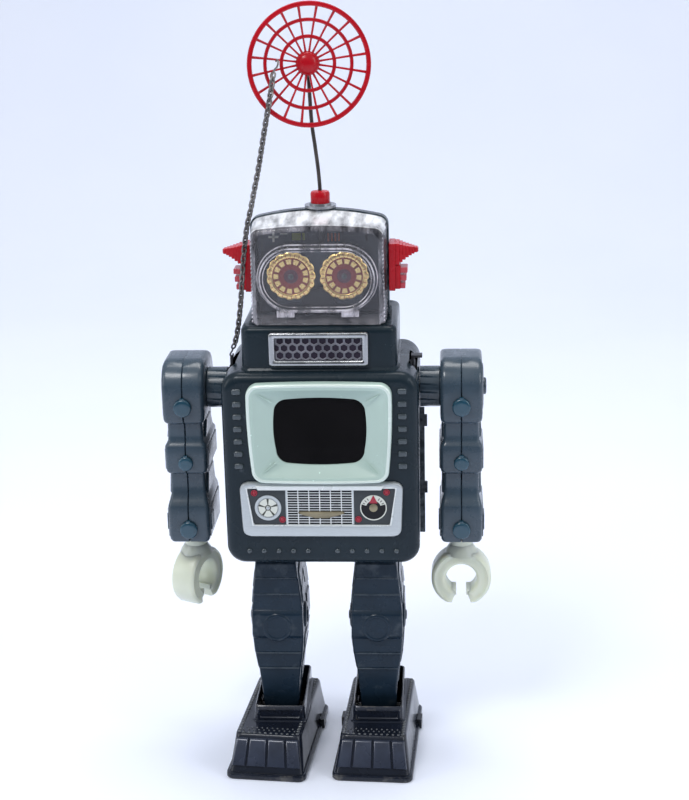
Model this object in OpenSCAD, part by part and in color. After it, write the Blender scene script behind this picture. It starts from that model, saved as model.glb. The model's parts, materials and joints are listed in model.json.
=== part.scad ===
// Walking tin toy robot with a chest television, a loudspeaker neck,
// spinning eyes behind a clear visor and a dish antenna tied by a chain.
// Millimetres. +Z up, the robot faces -Y, its own left side is +X.
// Origin: on the floor under the middle of the outer box.

/* [Body] */
// Half width of the tin chest
body_hw = 47; // [45:0.5:48]
// Height of the chest's underside above the floor
body_z0 = 110.5; // [110:0.5:111]
// Height of the chest's flat top
body_z1 = 207; // [206:0.5:208]
// Half depth of the chest
body_hd = 33; // [32.5:0.5:33.5]
// Thickness of the body's sheet metal
tin_t = 1.0; // [0.8:0.1:1.2]

/* [Television] */
// Half width of the television surround
tv_hw = 34.5; // [33:0.5:35]
// Half width of the picture opening
tv_open_hw = 22; // [20:0.5:24]

/* [Head] */
// Half width of the head
head_hw = 31.8; // [31:0.2:32]
// Height of the roof's side edges at the antenna
head_z1 = 276; // [275.5:0.1:276.1]
// Distance between the two eye axles
eye_pitch = 25; // [25:0.5:26]
// Number of teeth on each eye gear
eye_teeth = 25; // [25]

/* [Antenna] */
// Outer radius of the dish
dish_r = 28.6; // [27:0.2:30]
// How far the dish is turned about the mast, in degrees
dish_turn = 10; // [0:1:15]
// Number of spokes in the dish
dish_spokes = 20; // [16:2:24]

/* [Arms] */
// Distance of an arm's centre from the middle
arm_x = 67.3; // [67:0.1:68]
// Height of the shoulder axle
shoulder_z = 190.9; // [190:0.1:192]
// How far the right hand is twisted in its wrist, in degrees
right_hand_turn = 65; // [0:5:90]

/* [Legs] */
// Distance of a leg's centre from the middle
leg_x = 25; // [25:0.1:25.4]
// Height of the hip axle
hip_z = 114; // [114:0.5:114.5]
// Height of the ankle pin
ankle_z = 17; // [16.5:0.5:17.5]
// How far the right foot points out, in degrees
right_foot_yaw = -5; // [-6:1:0]
// How far the left foot points in, in degrees
left_foot_yaw = -3; // [-6:1:0]

/* [Clockwork] */
// Height of the winding arbor
key_z = 146; // [146]
// Gear tooth module
gear_m = 0.8; // [0.8]

/* [Hidden] */

// running clearance, radial
rc = 0.05;
// hip axle radius
hip_r = 1.6;

// clockwork layout in the X-Z plane
A = [0, key_z];
B = A + 21.6 * [cos(-45), sin(-45)];
C = B + 15.6 * [cos(205), sin(205)];
D = C + 13.6 * [cos(180), sin(180)];
crank_z = C[1];
// television drive layout in the Y-Z plane
drum_dir = [-sin(15.3), cos(15.3)];
idler_yz = [0, crank_z] + 24.8 * drum_dir;
drum_yz = idler_yz + 31.2 * drum_dir;

chest_r = 9;
mast_x = 0.6;
eye_z = 251.2;

// ---------- helpers ----------
function arcp(cx, cy, r, a0, a1, n) =
  [for (i = [0:n]) [cx + r * cos(a0 + (a1 - a0) * i / n), cy + r * sin(a0 + (a1 - a0) * i / n)]];
// rounded rectangle outline, x0..x1 by y0..y1
function rrp(x0, x1, y0, y1, r, n = 6) = concat(
  arcp(x1 - r, y1 - r, r, 0, 90, n), arcp(x0 + r, y1 - r, r, 90, 180, n),
  arcp(x0 + r, y0 + r, r, 180, 270, n), arcp(x1 - r, y0 + r, r, 270, 360, n));
// outline with different half widths at the top and at the bottom, bowed sides
function keystone(hw0, hw1, y0, y1, r, bow, n = 6) =
  let (m = (y0 + y1) / 2, hm = (hw0 + hw1) / 2 + bow)
  concat(arcp(hw1 - r, y1 - r, r, 0, 90, n), [[0, y1 + bow * 0.6]],
    arcp(-hw1 + r, y1 - r, r, 90, 180, n), [[-hm, m]],
    arcp(-hw0 + r, y0 + r, r, 180, 270, n), [[0, y0 - bow * 0.6]],
    arcp(hw0 - r, y0 + r, r, 270, 360, n), [[hm, m]]);
// spur gear outline with straight-flanked teeth
function gearp(n, m, ph = 0) = let (rp = n * m / 2, p = 360 / n)
  [for (i = [0:n - 1]) for (k = [0:3])
    let (a = ph + i * p + [-0.30, -0.105, 0.105, 0.30][k] * p,
         r = [rp - 1.15 * m, rp + 0.8 * m, rp + 0.8 * m, rp - 1.15 * m][k])
    [r * cos(a), r * sin(a)]];

module slab_y(y0, y1) { translate([0, y1, 0]) rotate([90, 0, 0]) linear_extrude(y1 - y0) children(); }
module slab_x(x0, x1) { translate([x0, 0, 0]) rotate([90, 0, 90]) linear_extrude(x1 - x0) children(); }
module slab_z(z0, z1) { translate([0, 0, z0]) linear_extrude(z1 - z0) children(); }
module cyl_x(x0, x1, r, y, z) { translate([x0, y, z]) rotate([0, 90, 0]) cylinder(h = x1 - x0, r = r, $fn = 48); }
module cyl_y(y0, y1, r, x, z) { translate([x, y1, z]) rotate([90, 0, 0]) cylinder(h = y1 - y0, r = r, $fn = 48); }
module cyl_z(z0, z1, r, x, y) { translate([x, y, z0]) cylinder(h = z1 - z0, r = r, $fn = 48); }
module block(x0, x1, y0, y1, z0, z1) { translate([x0, y0, z0]) cube([x1 - x0, y1 - y0, z1 - z0]); }
module gear_y(n, m, ph, y0, y1, x, z) {
  translate([x, y1, z]) rotate([90, 0, 0]) linear_extrude(y1 - y0) polygon(gearp(n, m, ph));
}
module gear_x(n, m, ph, x0, x1, y, z) {
  translate([x0, y, z]) rotate([90, 0, 90]) linear_extrude(x1 - x0) polygon(gearp(n, m, ph));
}

// ---------- chest ----------
module chest_cavity(y0, y1) {
  slab_y(y0, y1) polygon(rrp(-body_hw + tin_t, body_hw - tin_t, body_z0 + tin_t, body_z1 - tin_t, chest_r - tin_t));
}
module chest_openings() {
  // opening over the legs
  block(-38, 38, -27, 27, body_z0 - 1, body_z0 + 2);
  // opening up into the neck
  block(-25, 25, -21, 21, body_z1 - 2, body_z1 + 1);
  // round holes for the shoulder axles, half in each shell
  cyl_x(-60, 60, 2.6, 0, shoulder_z);
}
module front_shell() {
  color([0.20, 0.25, 0.30]) difference() {
    union() {
      difference() {
        slab_y(-body_hd, 0) polygon(rrp(-body_hw, body_hw, body_z0, body_z1, chest_r));
        chest_cavity(-body_hd + tin_t, 1);
        slab_y(-body_hd - 1, -body_hd + tin_t + 1) polygon(keystone(28.5, 29.5, 157, 199.5, 5, 0.6));
      }
      // pressed dashes beside the television
      for (s = [-1, 1]) for (i = [0:6])
        block(s * 39.2 - 2.1, s * 39.2 + 2.1, -body_hd - 0.7, -body_hd + 0.3, 197.5 - 6.2 * i, 199.3 - 6.2 * i);
      // pressed dots along the bottom edge
      for (s = [-1, 1]) for (i = [1:5])
        cyl_y(-body_hd - 0.6, -body_hd + 0.3, 1.1, s * 7.15 * i, 117.4);
    }
    chest_openings();
    // slots in the shoulders for the stop lever and the chain hook
    block(42.4, 45.4, -12, 0.5, 198, 208);
    block(-45.4, -42.4, -10, -3, 198, 208);
  }
}
module back_shell() {
  color([0.20, 0.25, 0.30]) difference() {
    union() {
      difference() {
        slab_y(0, body_hd) polygon(rrp(-body_hw, body_hw, body_z0, body_z1, chest_r));
        chest_cavity(-1, body_hd - tin_t);
      }
      // seam flanges with bent tabs, below the shoulders
      for (s = [-1, 1]) {
        block(min(s * (body_hw - 0.5), s * 49.3), max(s * (body_hw - 0.5), s * 49.3), 0, 1, 114, 180);
        for (z = [138, 173])
          block(min(s * 48, s * 50.6), max(s * 48, s * 50.6), 0.2, 1.8, z - 3, z + 3);
      }
      // pressed panel on the back
      slab_y(body_hd - 0.3, body_hd + 0.7) difference() {
        polygon(rrp(-32, 32, 158, 198, 5));
        polygon(rrp(-29, 29, 161, 195, 4));
      }
    }
    chest_openings();
    block(42.4, 45.4, -0.5, 12, 198, 208);
    // hole for the winding arbor
    cyl_y(20, 40, 2.6, A[0], A[1]);
  }
}
module bottom_plate() {
  color([0.45, 0.46, 0.48]) difference() {
    slab_z(body_z0 + tin_t, body_z0 + tin_t + 0.6) polygon(rrp(-38, 38, -31, 31, 3));
    for (s = [-1, 1]) block(s * leg_x - 11.2, s * leg_x + 11.2, -24, 24, 110, 114);
  }
}
module tv_bezel() {
  color([0.74, 0.83, 0.80]) difference() {
    slab_y(-37.4, -body_hd) polygon(keystone(tv_hw - 1.6, tv_hw, 153.6, 202.7, 6, 0.5));
    // dished surround
    hull() {
      slab_y(-37.6, -37.5) polygon(keystone(tv_hw - 5.2, tv_hw - 3.6, 157.4, 199.2, 4.6, 0.5));
      slab_y(-33.6, -33.5) polygon(keystone(tv_open_hw - 0.5, tv_open_hw, 161.6, 195, 5, 0.9));
    }
    slab_y(-40, -30) polygon(keystone(tv_open_hw - 0.5, tv_open_hw, 161.6, 195, 5, 0.9));
  }
}
module tv_window() {
  color([0.10, 0.09, 0.09, 0.75])
    slab_y(-31.8, -30.8) polygon(keystone(31, 32, 155, 201.5, 4, 0));
}
module control_plate() {
  color([0.75, 0.77, 0.78]) difference() {
    slab_y(-35.4, -body_hd) polygon(keystone(38.4, 39.2, 125.6, 153.2, 4, 0));
    slab_y(-36, -34.2) polygon([[-33.2, 131.4], [33.0, 131.4], [36.0, 150.4], [29.4, 150.4], [28.6, 149.4], [-29.6, 149.4], [-30.4, 150.4], [-36.0, 150.4]]);
    slab_y(-36, -32) polygon([[-30, 133], [30, 133], [30, 147], [-30, 147]]);
  }
}
module control_panel() {
  color([0.30, 0.32, 0.34]) union() {
    slab_y(-34.6, -34.2) polygon([[-33.0, 131.6], [32.8, 131.6], [35.8, 150.2], [29.5, 150.2], [28.7, 149.2], [-29.7, 149.2], [-30.5, 150.2], [-35.8, 150.2]]);
    slab_y(-34.2, -body_hd) polygon([[-29.9, 133.1], [29.9, 133.1], [29.9, 146.9], [-29.9, 146.9]]);
    cyl_y(-34.9, -34.5, 6.4, -25.8, 140.3);
    cyl_y(-34.9, -34.5, 6.3, 25.0, 140.3);
  }
}

// ---------- neck ----------
module neck_box() {
  color([0.20, 0.25, 0.30]) difference() {
    slab_z(body_z1, 228) polygon(rrp(-37, 37, -27, 28, 4));
    slab_z(body_z1 - 1, 228 - tin_t) polygon(rrp(-36, 36, -26, 27, 3));
    // well for the head
    block(-28, 28, -19, 19, 225, 230);
    // opening behind the loudspeaker grille
    block(-18, 18, -28, -25, 211, 224);
  }
}
module grille_frame() {
  color([0.78, 0.79, 0.80]) difference() {
    slab_y(-29.4, -27) polygon(rrp(-23.5, 23.5, 209.4, 225.7, 1));
    slab_y(-30, -26) polygon(rrp(-20.6, 20.6, 212.1, 223.2, 0.8));
  }
}
module grille_mesh() {
  color([0.18, 0.19, 0.20]) difference() {
    union() {
      slab_y(-28.3, -27.5) polygon(rrp(-20.6, 20.6, 212.1, 223.2, 0.8));
      slab_y(-27.5, -27) polygon(rrp(-20.0, 20.0, 212.7, 222.6, 0.8));
    }
    for (j = [0:2]) for (i = [0:9 - (j == 1 ? 1 : 0)])
      translate([-17.8 + 3.95 * i + (j == 1 ? 1.975 : 0), -20, 214.2 + 3.4 * j]) rotate([90, 0, 0])
        cylinder(h = 12, r = 1.6, $fn = 6);
  }
}

// ---------- head ----------
// outline of the head: flat sides, softly domed roof
function headp(hw, z0, z1, dome, r, n = 6) = concat(
  arcp(hw - r, z1 - r, r, 0, 80, n), [[hw * 0.45, z1 + dome * 0.8], [0, z1 + dome], [-hw * 0.45, z1 + dome * 0.8]],
  arcp(-hw + r, z1 - r, r, 100, 180, n), [[-hw, z0], [hw, z0]]);
module head_shell() {
  color([0.16, 0.17, 0.19]) difference() {
    // the roof falls away behind the antenna
    hull() {
      slab_y(-4, 1) polygon(headp(head_hw + 1.2, 228, head_z1 + 0.8, 3.2, 5));
      slab_y(23.5, 24) polygon(headp(head_hw + 0.4, 228, head_z1 - 9, 2, 6));
    }
    hull() {
      slab_y(-5, 1) polygon(headp(head_hw + 0.2, 226, head_z1 - 0.2, 3.2, 4));
      slab_y(22.5, 23) polygon(headp(head_hw - 0.6, 226, head_z1 - 10, 2, 5));
    }
    cyl_z(270, 290, 3.0, mast_x, 0);
  }
}
module visor() {
  color([0.85, 0.88, 0.90, 0.35]) difference() {
    union() {
      hull() {
        slab_y(-24, -23.6) polygon(headp(head_hw - 1.4, 228.2, head_z1 - 3.8, 1.4, 4));
        slab_y(-21.4, -21) polygon(headp(head_hw - 0.4, 228.2, head_z1 - 1.8, 1.6, 4));
        slab_y(-4.6, -4.3) polygon(headp(head_hw + 0.7, 228.2, head_z1 + 0.3, 3.1, 4.6));
      }
      // raised goggle
      slab_y(-27.2, -23) polygon(rrp(-27.8, 27.8, 235.1, 266.3, 15.5, 10));
      // two moulded clips under the goggle
      for (s = [-1, 1]) block(s * 15.2 - 4.2, s * 15.2 + 4.2, -25.2, -23.5, 232.2, 235.4);
    }
    hull() {
      slab_y(-22.8, -22.4) polygon(headp(head_hw - 2.6, 227, head_z1 - 5, 1.4, 3));
      slab_y(-20.4, -20) polygon(headp(head_hw - 1.6, 227, head_z1 - 3, 1.6, 3));
      slab_y(-4.4, -4) polygon(headp(head_hw - 0.4, 227, head_z1 - 0.8, 3.1, 3.6));
    }
    slab_y(-26.0, -20) polygon(rrp(-26.4, 26.4, 236.5, 264.9, 14.1, 10));
  }
}
module face_board() {
  color([0.24, 0.27, 0.31]) difference() {
    union() {
      // printed back board
      block(-30.4, 30.4, 4, 5, 228.2, 271.5);
      // shelf and bearing plate for the eye axles
      block(-20, 20, -14.2, 4.5, 236, 237);
      block(-20, 20, -14.2, -13.2, 236, 262);
      block(-8, 8, -18, -14.2, 236, 243.5);
      for (s = [-1, 1]) cyl_y(-14.5, -9.5, 2.6, s * eye_pitch / 2, eye_z);
    }
    for (s = [-1, 1]) cyl_y(-20, -5, 1.2 + rc, s * eye_pitch / 2, eye_z);
  }
}
module eye(s) {
  x = s * eye_pitch / 2;
  color([0.85, 0.68, 0.32]) union() {
    // scalloped rim
    slab_y(-21.4, -20.2) translate([x, eye_z]) polygon([for (a = [0:4:356]) (11.05 + 0.55 * abs(cos(a * 7.5))) * [cos(a), sin(a)]]);
    cyl_y(-22.4, -21.4, 7.2, x, eye_z);
    cyl_y(-23.4, -22.4, 2.2, x, eye_z);
    cyl_y(-20.2, -15, 2.4, x, eye_z);
    cyl_y(-15.5, -5.2, 1.2, x, eye_z);
  }
}
module left_eye() { eye(1); }
module right_eye() { eye(-1); }
module eye_gear(s) {
  x = s * eye_pitch / 2;
  color([0.80, 0.68, 0.38]) difference() {
    union() {
      gear_y(eye_teeth, eye_pitch / eye_teeth, s > 0 ? 180 : 180 / eye_teeth, -8.4, -6.8, x, eye_z);
      cyl_y(-9.2, -6, 2.4, x, eye_z);
    }
    cyl_y(-10, -4, 1.2, x, eye_z);
  }
}
module left_eye_gear() { eye_gear(1); }
module right_eye_gear() { eye_gear(-1); }
module ear(s) {
  x0 = head_hw + 1.2;
  color([0.80, 0.07, 0.10]) union() {
    for (b = [
      // mounting plate, horn steps, then the three ribs
      [x0, 36.2, -6.5, 6.5, 240.3, 263.2], [36.2, 38.6, -5.6, 5.6, 252.8, 262.9],
      [38.6, 40.6, -4.8, 4.8, 254.0, 262.4], [40.6, 42.6, -4.0, 4.0, 255.2, 261.9],
      [42.6, 44.6, -3.0, 3.0, 256.4, 261.3], [44.6, 47.0, -2.0, 2.0, 257.6, 260.5],
      [36.2, 38.6, -5, 5, 240.8, 252.8],
      [38.6, 41.6, -4.4, 4.4, 248.6, 251.2], [38.6, 41.2, -4.4, 4.4, 244.8, 247.4], [38.6, 40.6, -4.4, 4.4, 241.0, 243.6]])
      block(min(s * b[0], s * b[1]), max(s * b[0], s * b[1]), b[2], b[3], b[4], b[5]);
  }
}
module left_ear() { ear(1); }
module right_ear() { ear(-1); }

// ---------- antenna ----------
module antenna_bushing() {
  color([0.70, 0.71, 0.70]) difference() {
    union() {
      cyl_z(280.1, 281.4, 7.5, mast_x, 0);
      cyl_z(281.4, 282.2, 5.2, mast_x, 0);
      cyl_z(272, 280.1, 2.95, mast_x, 0);
    }
    cyl_z(270, 284, 1.6 + rc, mast_x, 0);
  }
}
module antenna_cap() {
  color([0.85, 0.08, 0.10]) difference() {
    union() {
      cyl_z(282.4, 287.9, 4.5, mast_x, 0);
      cyl_z(263.5, 282.4, 1.6, mast_x, 0);
      cyl_z(262.3, 263.5, 2.4, mast_x, 0);
    }
    cyl_z(280, 289, 0.9, mast_x, 0);
  }
}
mast_pts = [[0.6, 0, 280.5], [0.6, 0, 288], [-1.2, 0, 309], [-2.6, 0, 322], [-3.6, -0.6, 349]];
module rod(p, q, r) {
  d = q - p; l = norm(d);
  translate(p) rotate([0, acos(d[2] / l), atan2(d[1], d[0])]) cylinder(h = l, r = r, $fn = 24);
}
module antenna_mast() {
  color([0.25, 0.24, 0.22]) union() {
    for (i = [0:3]) rod(mast_pts[i], mast_pts[i + 1], 0.9);
    for (i = [1:3]) translate(mast_pts[i]) sphere(r = 1.0, $fn = 24);
  }
}
dish_c = [-3.4, -3.4, 347.8];
module dish_ring(r, y0, w) {
  translate([0, y0, 0]) rotate([90, 0, 0]) rotate_extrude($fn = 96) translate([r - w, 0]) square([w, 1.8]);
}
module dish() {
  color([0.86, 0.07, 0.10]) translate(dish_c) rotate([0, 0, dish_turn]) difference() {
    union() {
      dish_ring(dish_r, -7.8, 2.3);
      dish_ring(20.8, -4.4, 1.9);
      dish_ring(13.2, -2.0, 1.9);
      cyl_y(-4.6, 1.4, 5.5, 0, 0);
      for (i = [0:dish_spokes - 1]) rotate([0, 360 / dish_spokes * (i + 0.5), 0])
        translate([0, 0, -0.45]) linear_extrude(0.9)
          polygon([[4, -0.6], [12.2, -2.5], [19.8, -4.9], [27.6, -8.3], [27.6, -9.3], [19.8, -5.9], [12.2, -3.5], [4, -1.6]]);
    }
    // blind socket for the end of the mast
    cyl_y(-1.5, 2, 2.2, 0, 0);
  }
}

// ---------- chain ----------
// route of the chain from the dish down to the shoulder hook
chain_route = [[-18.2, -13.4, 345], [-19.2, -15.8, 338], [-20.4, -17.8, 331], [-21.6, -19.0, 325],
  [-23.3, -18.2, 317], [-25.2, -16.2, 308], [-27.2, -14, 299], [-29.4, -12.6, 290],
  [-31.4, -11.4, 281.5], [-33.6, -10.6, 273], [-35.2, -10.4, 263], [-36.4, -10.4, 253],
  [-37.4, -10.4, 243], [-38.4, -10.2, 234], [-39.6, -9.6, 226], [-41, -8.8, 219],
  [-42.8, -8, 213.5], [-44.2, -7.2, 210.2]];
chain_d = 1.9;
function lerp(a, b, t) = a + (b - a) * t;
chain_n = len(chain_route);
chain_pts = [for (i = [0:chain_n - 2]) for (k = [0:2]) lerp(chain_route[i], chain_route[i + 1], k / 3), chain_route[chain_n - 1]];
function unit(v) = v / norm(v);
module chain() {
  n = len(chain_pts);
  tang = [for (i = [0:n - 1]) unit(chain_pts[min(i + 1, n - 1)] - chain_pts[max(i - 1, 0)])];
  rings = [for (i = [0:n - 1]) let (u = unit(cross(tang[i], [0, 1, 0])), v = cross(tang[i], u))
    for (k = [0:7]) chain_pts[i] + chain_d / 2 * (cos(45 * k) * u + sin(45 * k) * v)];
  color([0.22, 0.21, 0.20]) polyhedron(points = rings, faces = concat(
    [[for (k = [0:7]) k]],
    [for (i = [0:n - 2]) for (k = [0:7]) [i * 8 + k, i * 8 + 8 + k, i * 8 + 8 + (k + 1) % 8, i * 8 + (k + 1) % 8]],
    [[for (k = [7:-1:0]) (n - 1) * 8 + k]]));
}
module chain_hook() {
  color([0.35, 0.34, 0.33]) union() {
    block(-44.6, -43.4, -9, -4.6, 199.6, 208.4);
    block(-44.6, -43.4, -8.4, -6, 208.4, 209.0);
    block(-45, -41.5, -9, -4.6, 199.6, 200.6);
  }
}

// ---------- clockwork ----------
module motor_plate(y0) {
  difference() {
    slab_y(y0, y0 + 1.2) polygon(rrp(-20.5, 27, 119, 167, 4));
    for (p = [B, C, D]) cyl_y(0, 40, 1.5 + rc, p[0], p[1]);
    cyl_y(0, 40, 2.0 + rc, A[0], A[1]);
    for (p = [[-16, 163], [22.5, 163], [-17.5, 132.6]]) cyl_y(0, 40, 1.4, p[0], p[1]);
  }
}
module motor_plate_front() { color([0.55, 0.57, 0.60]) motor_plate(9); }
module motor_plate_back() { color([0.55, 0.57, 0.60]) motor_plate(26); }
module motor_pillars() {
  color([0.50, 0.50, 0.52]) for (p = [[-16, 163], [22.5, 163], [-17.5, 132.6]]) union() {
    cyl_y(10.2, 26, 2.4, p[0], p[1]);
    cyl_y(7.6, 10.2, 1.4, p[0], p[1]);
    cyl_y(26, body_hd - tin_t, 1.4, p[0], p[1]);
  }
}
module mainspring() {
  // wound steel ribbon, one turn every 1.5 mm
  turns = 7; k = 24;
  color([0.35, 0.38, 0.45]) slab_y(13, 19) translate(A) polygon(concat(
    [for (i = [0:turns * k]) let (a = i * 360 / k, r = 4.4 + 1.5 * i / k) r * [cos(a), sin(a)]],
    [for (i = [turns * k:-1:0]) let (a = i * 360 / k, r = 4.4 + 1.5 * i / k - 0.6) r * [cos(a), sin(a)]]));
}
module key_arbor() {
  color([0.62, 0.62, 0.64]) union() {
    cyl_y(8.2, 34.2, 2.0, A[0], A[1]);
    cyl_y(10.6, 19.4, 3.2, A[0], A[1]);
    block(A[0] - 1.4, A[0] + 1.4, 34.2, 42, A[1] - 1.4, A[1] + 1.4);
    // ratchet wheel
    slab_y(24.2, 25.4) translate(A) polygon([for (i = [0:11]) for (j = [0, 1]) (j == 0 ? 5.0 : 6.6) * [cos(i * 30 + j * 2), sin(i * 30 + j * 2)]]);
  }
}
module key() {
  color([0.80, 0.80, 0.80]) difference() {
    union() {
      cyl_y(35, 45.4, 3.2, A[0], A[1]);
      for (s = [-1, 1]) translate([s * 9.4, 42.4, A[1] - 0.9]) cylinder(h = 1.8, r = 6.9, $fn = 48);
      block(-9, 9, 38.5, 45.4, A[1] - 0.9, A[1] + 0.9);
    }
    block(A[0] - 1.5, A[0] + 1.5, 34, 42.2, A[1] - 1.5, A[1] + 1.5);
    for (s = [-1, 1]) translate([s * 10.4, 42.4, A[1] - 3]) cylinder(h = 6, r = 3.0, $fn = 48);
  }
}
// tooth phases that put each pair in mesh
phB = 135 + 20;
module great_wheel() {
  color([0.80, 0.66, 0.34]) difference() {
    union() {
      gear_y(45, gear_m, -45, 21, 22.6, A[0], A[1]);
      cyl_y(20.2, 23.6, 4.2, A[0], A[1]);
    }
    cyl_y(19, 25, 2.0 + rc, A[0], A[1]);
    for (i = [0:4]) rotate_about_y(A, i * 72 + 36) cyl_y(20, 24, 4, A[0] + 10.6, A[1]);
  }
}
module rotate_about_y(p, a) { translate([p[0], 0, p[1]]) rotate([0, a, 0]) translate([-p[0], 0, -p[1]]) children(); }
module second_wheel() {
  color([0.80, 0.66, 0.34]) union() {
    gear_y(9, gear_m, phB, 20.6, 23, B[0], B[1]);
    gear_y(30, gear_m, 205, 11, 12.4, B[0], B[1]);
    cyl_y(10.4, 25.8, 2.0, B[0], B[1]);
    cyl_y(8.6, 27.6, 1.5, B[0], B[1]);
  }
}
module third_wheel() {
  color([0.80, 0.66, 0.34]) union() {
    gear_y(9, gear_m, 25 + 20, 10.6, 12.8, C[0], C[1]);
    gear_y(25, gear_m, 180, 23.6, 25, C[0], C[1]);
    cyl_y(12.8, 25.6, 2.0, C[0], C[1]);
    cyl_y(4.6, 27.6, 1.5, C[0], C[1]);
    // contrate wheel, teeth facing forward
    cyl_y(5.2, 6.4, 10.9, C[0], C[1]);
    for (i = [0:23]) rotate_about_y(C, i * 15) block(C[0] + 8.5, C[0] + 10.7, 3.5, 5.3, C[1] - 0.5, C[1] + 0.5);
  }
}
module governor_fan() {
  color([0.80, 0.66, 0.34]) union() {
    gear_y(9, gear_m, 20, 23.2, 25.2, D[0], D[1]);
    cyl_y(10.4, 25.6, 1.9, D[0], D[1]);
    cyl_y(8.6, 27.6, 1.5, D[0], D[1]);
    block(D[0] - 6.2, D[0] + 6.2, 14, 20.2, D[1] - 0.4, D[1] + 0.4);
  }
}
module crankshaft() {
  color([0.62, 0.62, 0.64]) union() {
    cyl_x(-30.6, 30.6, 2.0, 0, crank_z);
    gear_x(9, gear_m, 20, C[0] + 8.2, C[0] + 11.0, 0, crank_z);
    gear_x(14, gear_m, 90 + 15.3, -24.2, -22.4, 0, crank_z);
    for (s = [-1, 1]) {
      cyl_x(min(s * 30.4, s * 32), max(s * 30.4, s * 32), 5.2, 0, crank_z);
      cyl_x(min(s * 31.8, s * 33.2), max(s * 31.8, s * 33.2), 1.3, s * 3, crank_z);
    }
  }
}
module side_plate(x0, x1) {
  difference() {
    slab_x(x0, x1) polygon([[-4, 120.6], [4, 120.6], [8, 125], [8, 206], [-8, 206], [-8, 198], [-24, 190], [-24, 166], [-14, 150], [-14, 128]]);
    cyl_x(x0 - 1, x1 + 1, 2.0 + rc, 0, crank_z);
    cyl_x(x0 - 1, x1 + 1, 1.5 + rc, drum_yz[0], drum_yz[1]);
    cyl_x(x0 - 1, x1 + 1, 2.5 + rc, 0, shoulder_z);
  }
}
module side_plate_left() { color([0.55, 0.57, 0.60]) side_plate(28.4, 29.4); }
module side_plate_right() {
  color([0.55, 0.57, 0.60]) union() {
    side_plate(-27.6, -26.4);
    // stub for the idler wheel
    cyl_x(-26.6, -21.6, 1.5, idler_yz[0], idler_yz[1]);
  }
}
module drum_idler() {
  color([0.80, 0.66, 0.34]) difference() {
    union() {
      gear_x(48, gear_m, 270 + 15.3 + 180 / 48, -24.2, -22.4, idler_yz[0], idler_yz[1]);
      cyl_x(-25.8, -22, 3.4, idler_yz[0], idler_yz[1]);
    }
    cyl_x(-28, -20, 1.5 + rc, idler_yz[0], idler_yz[1]);
    for (i = [0:4]) translate([0, idler_yz[0], idler_yz[1]]) rotate([i * 72, 0, 0]) cyl_x(-26, -20, 4.2, 0, 11);
  }
}
module scene_drum() {
  color([0.75, 0.62, 0.40]) union() {
    cyl_x(-21.4, 21.4, 13, drum_yz[0], drum_yz[1]);
    gear_x(30, gear_m, 270 + 15.3, -24.2, -22.4, drum_yz[0], drum_yz[1]);
    cyl_x(-25.8, -21, 2.6, drum_yz[0], drum_yz[1]);
    cyl_x(-28.4, 30.2, 1.5, drum_yz[0], drum_yz[1]);
  }
}
module stop_lever() {
  color([0.60, 0.61, 0.62]) union() {
    block(43.2, 44.6, -9, -2, 201.5, 207.5);
    block(43.2, 48.5, -8, -3, 207.5, 208.7);
    block(40.6, 44.6, -9, -2, 201.5, 202.7);
  }
}

// ---------- legs ----------
leg_front = [[108, 17], [105, 20], [97, 20.4], [96, 19.2], [88, 19.8], [87, 18.8], [79, 19.2], [77, 20.6], [66, 20.6],
  [64, 19.0], [56, 18.8], [55, 17.8], [47, 17.6], [46, 16.6], [36, 16.0], [30, 14.6], [22, 13.6], [15, 9], [11.4, 4]];
function leg_profile(o) = concat(
  [[-9 + o, 117.4 - o], [-9 + o, 111]],
  [for (p = leg_front) [-p[1] + o, p[0] - (p[0] > 107 ? o : 0) + (p[0] < 12 ? o : 0)]],
  [for (i = [len(leg_front) - 1:-1:0]) let (p = leg_front[i]) [p[1] - o, p[0] - (p[0] > 107 ? o : 0) + (p[0] < 12 ? o : 0)]],
  [[9 - o, 111], [9 - o, 117.4 - o]]);
leg_pad_low = [[-15.6, 42], [15.6, 42], [16.4, 55.2], [17.6, 64.4], [19.4, 66.4], [19.4, 77], [18.0, 79.4], [18.0, 96], [19, 97.4], [17.6, 103],
  [-17.6, 103], [-19, 97.4], [-18.0, 96], [-18.0, 79.4], [-19.4, 77], [-19.4, 66.4], [-17.6, 64.4], [-16.4, 55.2]];
leg_pad_high = [[-15.4, 56.5], [15.4, 56.5], [18.2, 67], [18.2, 76.4], [15.4, 88], [-15.4, 88], [-18.2, 76.4], [-18.2, 67]];
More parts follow.
